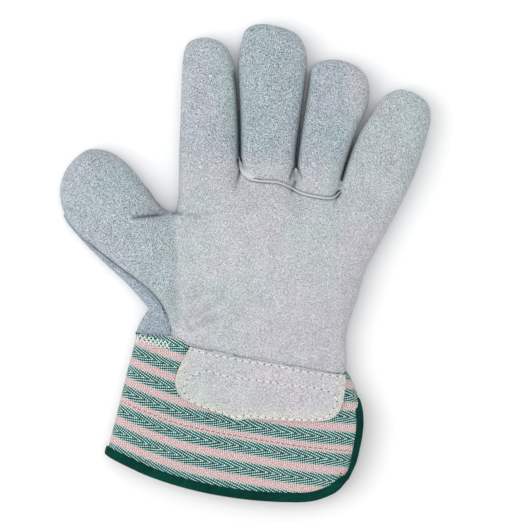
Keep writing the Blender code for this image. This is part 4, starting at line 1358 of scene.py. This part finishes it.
def ribbon(name, places, widths, height, look):
    """A low rounded strip along a path of points, closed round."""
    along = np.gradient(places, axis=0)
    along /= np.linalg.norm(along, axis=1)[:, None]
    across = np.stack([-along[:, 1], along[:, 0], np.zeros(len(along))], axis=1)
    across /= np.linalg.norm(across, axis=1)[:, None]
    ring = []
    for angle in np.linspace(0, 2 * math.pi, 13):
        rise = height * max(math.sin(angle), -0.8)
        side = across * (widths / 2 * math.cos(angle))[:, None]
        ring.append(places + side + np.array([0.0, 0.0, rise]))
    obj = grid(name, np.stack(ring, axis=1))
    finish_solid(obj, look)
    return obj


# ---------------------------------------------------------------- joints

THUMB_BEND_START = LEFT_EDGE[0]
THUMB_BEND_WAY = (-0.9665, 0.257)
# Millimetres before and after its joint, along the digit, given for each kind of leather piece; the pieces
# are not bent by them
WRIST_BEND = (-11.0, 0.5)
THUMB_BASE_BEND, THUMB_TIP_BEND = (0.0, 10.0), (-6.0, 10.0)
FINGER_BASE_BEND, FINGER_MIDDLE_BEND = (1.0, 13.5), (-10.5, 10.5)

FORK_REACH = 0.42  # share of a finger's length that its side strips take
FORK_WALL = 0.8
FORK_HALF = (2.4, 0.4)  # half their width at the base and at the end
FORK_SIDES = {"index": (1,), "middle": (-1, 1), "ring": (-1, 1), "little": (-1,)}
WELT_WIDTH, WELT_HEIGHT = 1.1, 0.4
TAB_HEIGHT = 0.35
SUNK = 0.25  # how deep welt and tabs sit in the leather
# The side strips' ends between the fingers: path and full width
CROTCH_TABS = {
    "index": ([(-3.0, 58.0), (-1.6, 53.6), (1.0, 50.0), (5.4, 46.9)], 3.8),
    "middle": ([(28.2, 53.0), (28.3, 49.6), (28.4, 45.4)], 5.4),
    "ring": ([(53.0, 46.0), (52.6, 43.6), (51.4, 40.6)], 2.6),
}


def bend_across(obj, a, b, start, way, low, high):
    """Bakes a piece's place into its points. It is not bent: a and b are not used, and the places worked out
    from start, way, low and high are dropped.
    """
    start, way = Vector((*start, 0.0)), Vector((*way, 0.0)).normalized()
    (start + way * low) * MM
    (start + way * high) * MM
    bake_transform(obj)


def away_from(joint_name):
    """A joint's place in plan and the way along the digit, away from the palm."""
    joint = joint_of(joint_name)
    place, axis = joint["pos_m"], joint["axis"]
    return (place[0] / MM, place[1] / MM), (-axis[1], axis[0])


def attach(obj, part):
    """Rides a palm piece on the palm body; any other piece only has its place baked into its points, and is
    not bent between the two bodies it joins.
    """
    if part == "palm":
        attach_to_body(obj, "palm")
    elif part == "wrist":
        start, way = away_from("wrist_bend")
        bend_across(obj, "palm", "cuff", start, way, *WRIST_BEND)
    elif part == "thumb_lower":
        bend_across(obj, "palm", "thumb_lower", THUMB_BEND_START, THUMB_BEND_WAY, *THUMB_BASE_BEND)
    elif part == "thumb_upper":
        start, way = away_from("thumb_tip_bend")
        bend_across(obj, "thumb_lower", "thumb_upper", start, way, *THUMB_TIP_BEND)
    elif part.endswith("_lower"):
        finger = part.removesuffix("_lower")
        start, way = away_from(finger + "_base_bend")
        bend_across(obj, "palm", part, start, way, *FINGER_BASE_BEND)
    else:
        finger = part.removesuffix("_upper")
        start, way = away_from(finger + "_middle_bend")
        bend_across(obj, finger + "_lower", part, start, way, *FINGER_MIDDLE_BEND)


def replaced_nodes(part, side):
    """CAD nodes that a leather piece stands for."""
    word = "front" if side > 0 else "back"
    if part == "palm":
        return ["palm_front" if side > 0 else "hand_back"]
    if part == "wrist":
        return ["palm_front"] if side > 0 else ["hand_back", "thumb_side_gusset"]
    digit, share = part.rsplit("_", 1)
    return [f"{digit}_{word}_{share}"]


def build_leather(side, look):
    """The pieces of the palm side (1) or the back (-1); gives back the whole skin's points."""
    skin = build_skin(side)
    turn_edges_in(skin, side)
    face_outwards(skin, side)
    shape_skin(skin, side, FRONT_FOLDS if side > 0 else BACK_FOLDS, 2.0 if side > 0 else 5.0)
    normals = skin_normals(skin)
    word = "front" if side > 0 else "back"
    for number, part in PART_NAMES.items():
        obj = take_part(skin, number, f"{part}_{word}_leather", normals)
        paint(obj, look)
        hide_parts(*replaced_nodes(part, side))
        attach(obj, part)
    surface = coordinates(skin.data)
    bpy.data.objects.remove(skin)
    return surface


def laid_on(surface, path, among):
    """The path at the height of a skin's nearest points, evened out along it and sunk in a little."""
    z = []
    for place in path:
        far = ((surface[:, :2] - place) ** 2).sum(axis=1)
        near = np.argpartition(far, among)[:among]
        z.append(surface[near, 2].max())
    z = np.array(z)
    for _ in range(6):
        z[1:-1] = (z[:-2] + z[1:-1] * 2 + z[2:]) / 4
    return with_heights(path, z - SUNK)


def build_welt(surface, look):
    """The leather strip in the seam at the base of the middle and ring fingers."""
    places = laid_on(surface, evenly(FINGER_BASE_SEAM, 90), 10)
    share = np.linspace(0, 1, len(places))
    widths = WELT_WIDTH * (0.35 + 0.65 * smooth(share / 0.06) * smooth((1 - share) / 0.06))
    obj = ribbon("finger_base_welt_strip", places, widths, WELT_HEIGHT, look)
    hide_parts("finger_base_welt")
    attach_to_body(obj, "palm")


def build_crotch_tabs(surface, look):
    """The small pale ends of the side strips, which show where two fingers part."""
    for name, (path, width) in CROTCH_TABS.items():
        places = laid_on(surface, evenly(path, 24), 8)
        share = np.linspace(0, 1, len(places))
        widths = width * np.sin(np.pi * share**1.3) ** 0.8 + 0.15
        obj = ribbon(f"{name}_crotch_tab", places, widths, TAB_HEIGHT, look)
        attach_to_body(obj, "palm")


def build_forks(look):
    """Narrow side strips between the palm side and back of each finger, where fingers meet."""
    for name, sides in FORK_SIDES.items():
        where = finger_stations(name)
        edges = finger_edges(name, where)
        run = lengths(edges.mean(axis=1))
        keep = run < FORK_REACH * run[-1]
        for side in sides:
            build_fork(name, side, edges[keep], run[keep], look)


def build_fork(name, side, edges, run, look):
    edge, other = (edges[:, 1], edges[:, 0]) if side > 0 else (edges[:, 0], edges[:, 1])
    outward = edge - other
    outward /= np.linalg.norm(outward, axis=1)[:, None]
    half = mix(*FORK_HALF, np.clip(run / run[-1], 0, 1))
    rows = []
    for share in np.linspace(-1, 1, 5):
        bulge = 0.25 - 0.7 * share**2
        rows.append(with_heights(edge + outward * bulge, SEAM_Z + half * share))
    word = "little_side" if side > 0 else "thumb_side"
    obj = grid(f"{name}_fork_{word}_strip", np.stack(rows, axis=1))
    mesh = obj.data
    mesh.update()
    if sum(Vector(p.normal).dot(Vector((*outward[0], 0.0))) for p in mesh.polygons) < 0:
        mesh.flip_normals()
    thicken(obj, FORK_WALL)
    mesh.shade_smooth()
    paint(obj, look)
    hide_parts(f"{name}_fork_{word}")
    attach(obj, name + "_lower")


def sewn_sheet(name, node, rows, thickness, look, body, outside=1):
    """A sheet that stands for one CAD node and rides on a body."""
    obj = build_sheet(name, rows, thickness, look, outside)
    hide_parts(node)
    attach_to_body(obj, body)
    return obj


def turned_rectangle(length, width, middle, turn, columns, rows, round_by=3.0):
    """A plan grid of a rectangle with eased corners, turned about its middle."""
    x, y = np.meshgrid(np.linspace(-1, 1, columns + 1), np.linspace(-1, 1, rows + 1))
    shrink = 1 - round_by / (length / 2) * np.abs(y) ** 8
    x, y = x * length / 2 * shrink, y * width / 2
    c, s = math.cos(turn), math.sin(turn)
    return np.stack([middle[0] + c * x - s * y, middle[1] + s * x + c * y], axis=2)


def build_strap(look, thread, dark):
    """The strap across the back of the hand that the glove rests on, with its two rows of stitches."""
    low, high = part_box("knuckle_strap")
    middle = ((low.x + high.x) / 2 / MM, (low.y + high.y) / 2 / MM)
    length, width = STRAP_SIZE
    columns = round(length)
    plan = turned_rectangle(length, width, middle, STRAP_TURN, columns, round(width))
    lifted_ends = 0.25 * np.abs(np.linspace(-1, 1, columns + 1)) ** 6
    rows = with_heights(plan, STRAP_Z + lifted_ends)
    sewn_sheet("knuckle_strap_leather", "knuckle_strap", rows, LEATHER, look, "palm", -1)
    paths = []
    for v in (0.1, 0.9):
        places, ups = surface_path(rows, [(0.03, v), (0.97, v)])
        paths.append((places, -ups))
    stitch_line("knuckle_strap_stitches", paths, "palm", thread, dark)


def build_inside(lining, rubber):
    """The cotton lining of the palm, and the elastic that gathers the back above the wrist."""
    palm = palm_rows(1)
    inner = palm[8:-8:2, 22:-22:2].copy()
    inner[:, :, 2] -= LEATHER + 1.3
    sewn_sheet("palm_lining_cloth", "palm_lining", inner, 0.6, lining, "palm")
    low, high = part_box("wrist_elastic")
    middle = ((low.x + high.x) / 2 / MM, (low.y + high.y) / 2 / MM)
    length, width = ELASTIC_SIZE
    columns, rows = ELASTIC_GRID
    plan = turned_rectangle(length, width, middle, ELASTIC_TURN, columns, rows, 0.0)
    gathers = 0.3 * np.sin(np.linspace(0, 2 * math.pi * ELASTIC_GATHERS, columns + 1))
    band = with_heights(plan, low.z / MM + 0.5 + gathers)
    sewn_sheet("wrist_elastic_band", "wrist_elastic", band, 0.8, rubber, "palm", -1)


def folded_sheet(name, rows, thickness, look, nodes, striped=False):
    """A sheet of the cuff, folded at the thumb side; its palm side faces up."""
    obj = grid(name, rows)
    if striped:
        stripe_map(obj, rows)
    mesh = obj.data
    mesh.update()
    if mesh.polygons[CUFF_FRONT_COLUMNS // 2].normal.z < 0:
        mesh.flip_normals()
    thicken(obj, thickness)
    mesh.shade_smooth()
    paint(obj, look)
    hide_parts(*nodes)
    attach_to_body(obj, "cuff")


def build_cuff(canvas, lining, tape):
    """The striped cloth, the lining inside it and the tape; gives back the cloth's points."""
    rows = smooth_rows(waves(cuff_rows(), *CLOTH_WAVES), 4)
    folded_sheet("cuff_striped_cloth", rows, CUFF_CLOTH, canvas, ["cuff_cloth"], True)
    inner = smooth_rows(waves(cuff_rows(CUFF_INSIDE), *CLOTH_WAVES), 4)[:, 1:-1]
    nodes = ["cuff_lining", "cuff_core"]
    folded_sheet("cuff_inside_lining", inner, CUFF_LINING, lining, nodes)
    binding = build_binding(rows, tape)
    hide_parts("cuff_binding")
    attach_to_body(binding, "cuff")
    return rows


def build_patch(cloth, look, thread, dark):
    """The leather patch over the wrist, with a stitched row at its top and one all round."""
    rows = patch_rows(cloth)
    patch = sewn_sheet("wrist_patch_leather", "wrist_patch", rows, LEATHER, look, "cuff")
    co = coordinates(patch.data)
    rim = np.concatenate([evenly(edge, 80) for edge in (PATCH_LEFT, PATCH_BOTTOM, PATCH_RIGHT[::-1])])
    far, _ = distance_to(rim, co)
    write_shades(patch.data, np.exp(-((far / PATCH_RIM) ** 2)), np.zeros(len(far)))
    top = surface_path(rows, [(0.02, 0.035), (0.5, 0.035), (0.99, 0.035)])
    around = surface_path(rows, PATCH_STITCH_TRACK)
    stitch_line("wrist_patch_stitches", [top, around], "cuff", thread, dark)


def build_overcast(cloth, thread):
    """The white crossed stitches that hold the cloth's top edge beside the thumb."""
    front = cloth[:, : CUFF_FRONT_COLUMNS + 1][:, ::-1]
    frames = []
    for row_lean in (1, -1):
        for k in range(OVERCAST_COUNT):
            share = (k + 0.5) / OVERCAST_COUNT
            u, v = mix(*OVERCAST_RUN, share), mix(*OVERCAST_ROWS, share)
            places, ups = surface_path(front, [(u, v), (u, v + 0.001)])
            place, up = places[0], ups[0]
            along = np.array([0.75 * row_lean - 0.15, -1.0, 0.0])
            along -= (along @ up) * up
            along /= np.linalg.norm(along)
            frames.append((place + up * (0.3 + 0.1 * row_lean), along, up))
    obj = copies("cuff_overcast_stitches", one_stitch(*OVERCAST_STITCH), frames, thread)
    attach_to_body(obj, "cuff")


# ---------------------------------------------------------------- the glove


def build_glove():
    leather = suede("split_suede", (0.510, 0.521, 0.538), (0.375, 0.432, 0.458))
    back = suede("back_suede", (0.36, 0.40, 0.465))
    patch = suede("patch_suede", (0.545, 0.538, 0.553), (0.60, 0.595, 0.55), contrast=1.0, deep_grain=0.0)
    welt = suede("welt_suede", (0.53, 0.575, 0.58), contrast=0.45, depth=0.0001)
    # The side strips get a dark copy of the suede: painted shade in the gaps between the fingers
    fork = suede("fork_shaded_suede", (0.16, 0.22, 0.235))
    canvas, tape = striped_canvas(), green_tape()
    lining = cotton("cotton_lining", (0.66, 0.62, 0.54), (0.46, 0.42, 0.35))
    rubber = cotton("elastic", (0.72, 0.70, 0.64), (0.5, 0.48, 0.42), 0.0005)
    thread = thread_finish("white_thread", (0.86, 0.87, 0.84), (0.66, 0.68, 0.64))
    # Needle holes are near-black marks: painted shade in the holes
    dark = thread_finish("needle_hole_shade", (0.07, 0.075, 0.08), (0.03, 0.03, 0.035))
    surface = build_leather(1, leather)
    build_leather(-1, back)
    build_welt(surface, welt)
    build_crotch_tabs(surface, welt)
    build_forks(fork)
    build_strap(back, thread, dark)
    build_inside(lining, rubber)
    cloth = build_cuff(canvas, lining, tape)
    build_patch(cloth, patch, thread, dark)
    build_overcast(cloth, thread)


# ---------------------------------------------------------------- floor, light and camera


# Each light's name, place, size and power
LIGHTS = [("key", (-1.1, 0.0, 1.35), 1.5, 12.0), ("fill", (0.1, 0.1, 2.2), 1.6, 9.0)]
SURROUND = 0.82
CAMERA_LENS = 300.0
SENSOR = 36.0
FRAME_WIDTH = 287.1  # width of the view at the outline's height
VIEW_CENTRE = (9.1, 1.7)
OUTLINE_HEIGHT = 9.0


def build_stage():
    """A white table under a broad soft light from the left, a weaker one overhead and a bright surround."""
    deselect_all()
    bpy.ops.mesh.primitive_plane_add(size=12.0, location=(0.0, 0.0, -0.0002))
    floor = bpy.context.object
    floor.name = "table"
    finish = Finish("table_white", roughness=0.9)
    grain = finish.noise(finish.place(), 0.3, 2.0)
    floor.data.materials.append(finish.paint(finish.blend(grain, (0.90, 0.90, 0.90), (0.91, 0.91, 0.91))))
    for name, place, size, power in LIGHTS:
        light = bpy.data.lights.new(name, "AREA")
        light.shape = "DISK"
        light.size = size
        light.energy = power
        lamp = bpy.data.objects.new(name, light)
        lamp.location = place
        lamp.rotation_mode = "QUATERNION"
        lamp.rotation_quaternion = (-Vector(place)).to_track_quat("-Z", "Y")
        bpy.context.scene.collection.objects.link(lamp)
    world = bpy.data.worlds.new("surround")
    bpy.context.scene.world = world
    world.use_nodes = True
    world.node_tree.nodes["Background"].inputs["Color"].default_value = (1.0, 1.0, 1.0, 1.0)
    world.node_tree.nodes["Background"].inputs["Strength"].default_value = SURROUND


def build_camera():
    """Straight above the glove, far off, so that the outline's height fills the frame at its real size."""
    camera = bpy.data.cameras.new("camera")
    camera.lens = CAMERA_LENS
    camera.sensor_width = SENSOR
    holder = bpy.data.objects.new("camera", camera)
    away = FRAME_WIDTH * CAMERA_LENS / SENSOR
    holder.location = (VIEW_CENTRE[0] * MM, VIEW_CENTRE[1] * MM, (OUTLINE_HEIGHT + away) * MM)
    bpy.context.scene.collection.objects.link(holder)
    bpy.context.scene.camera = holder


build_glove()
build_stage()
build_camera()
bpy.context.scene.view_settings.view_transform = "Standard"
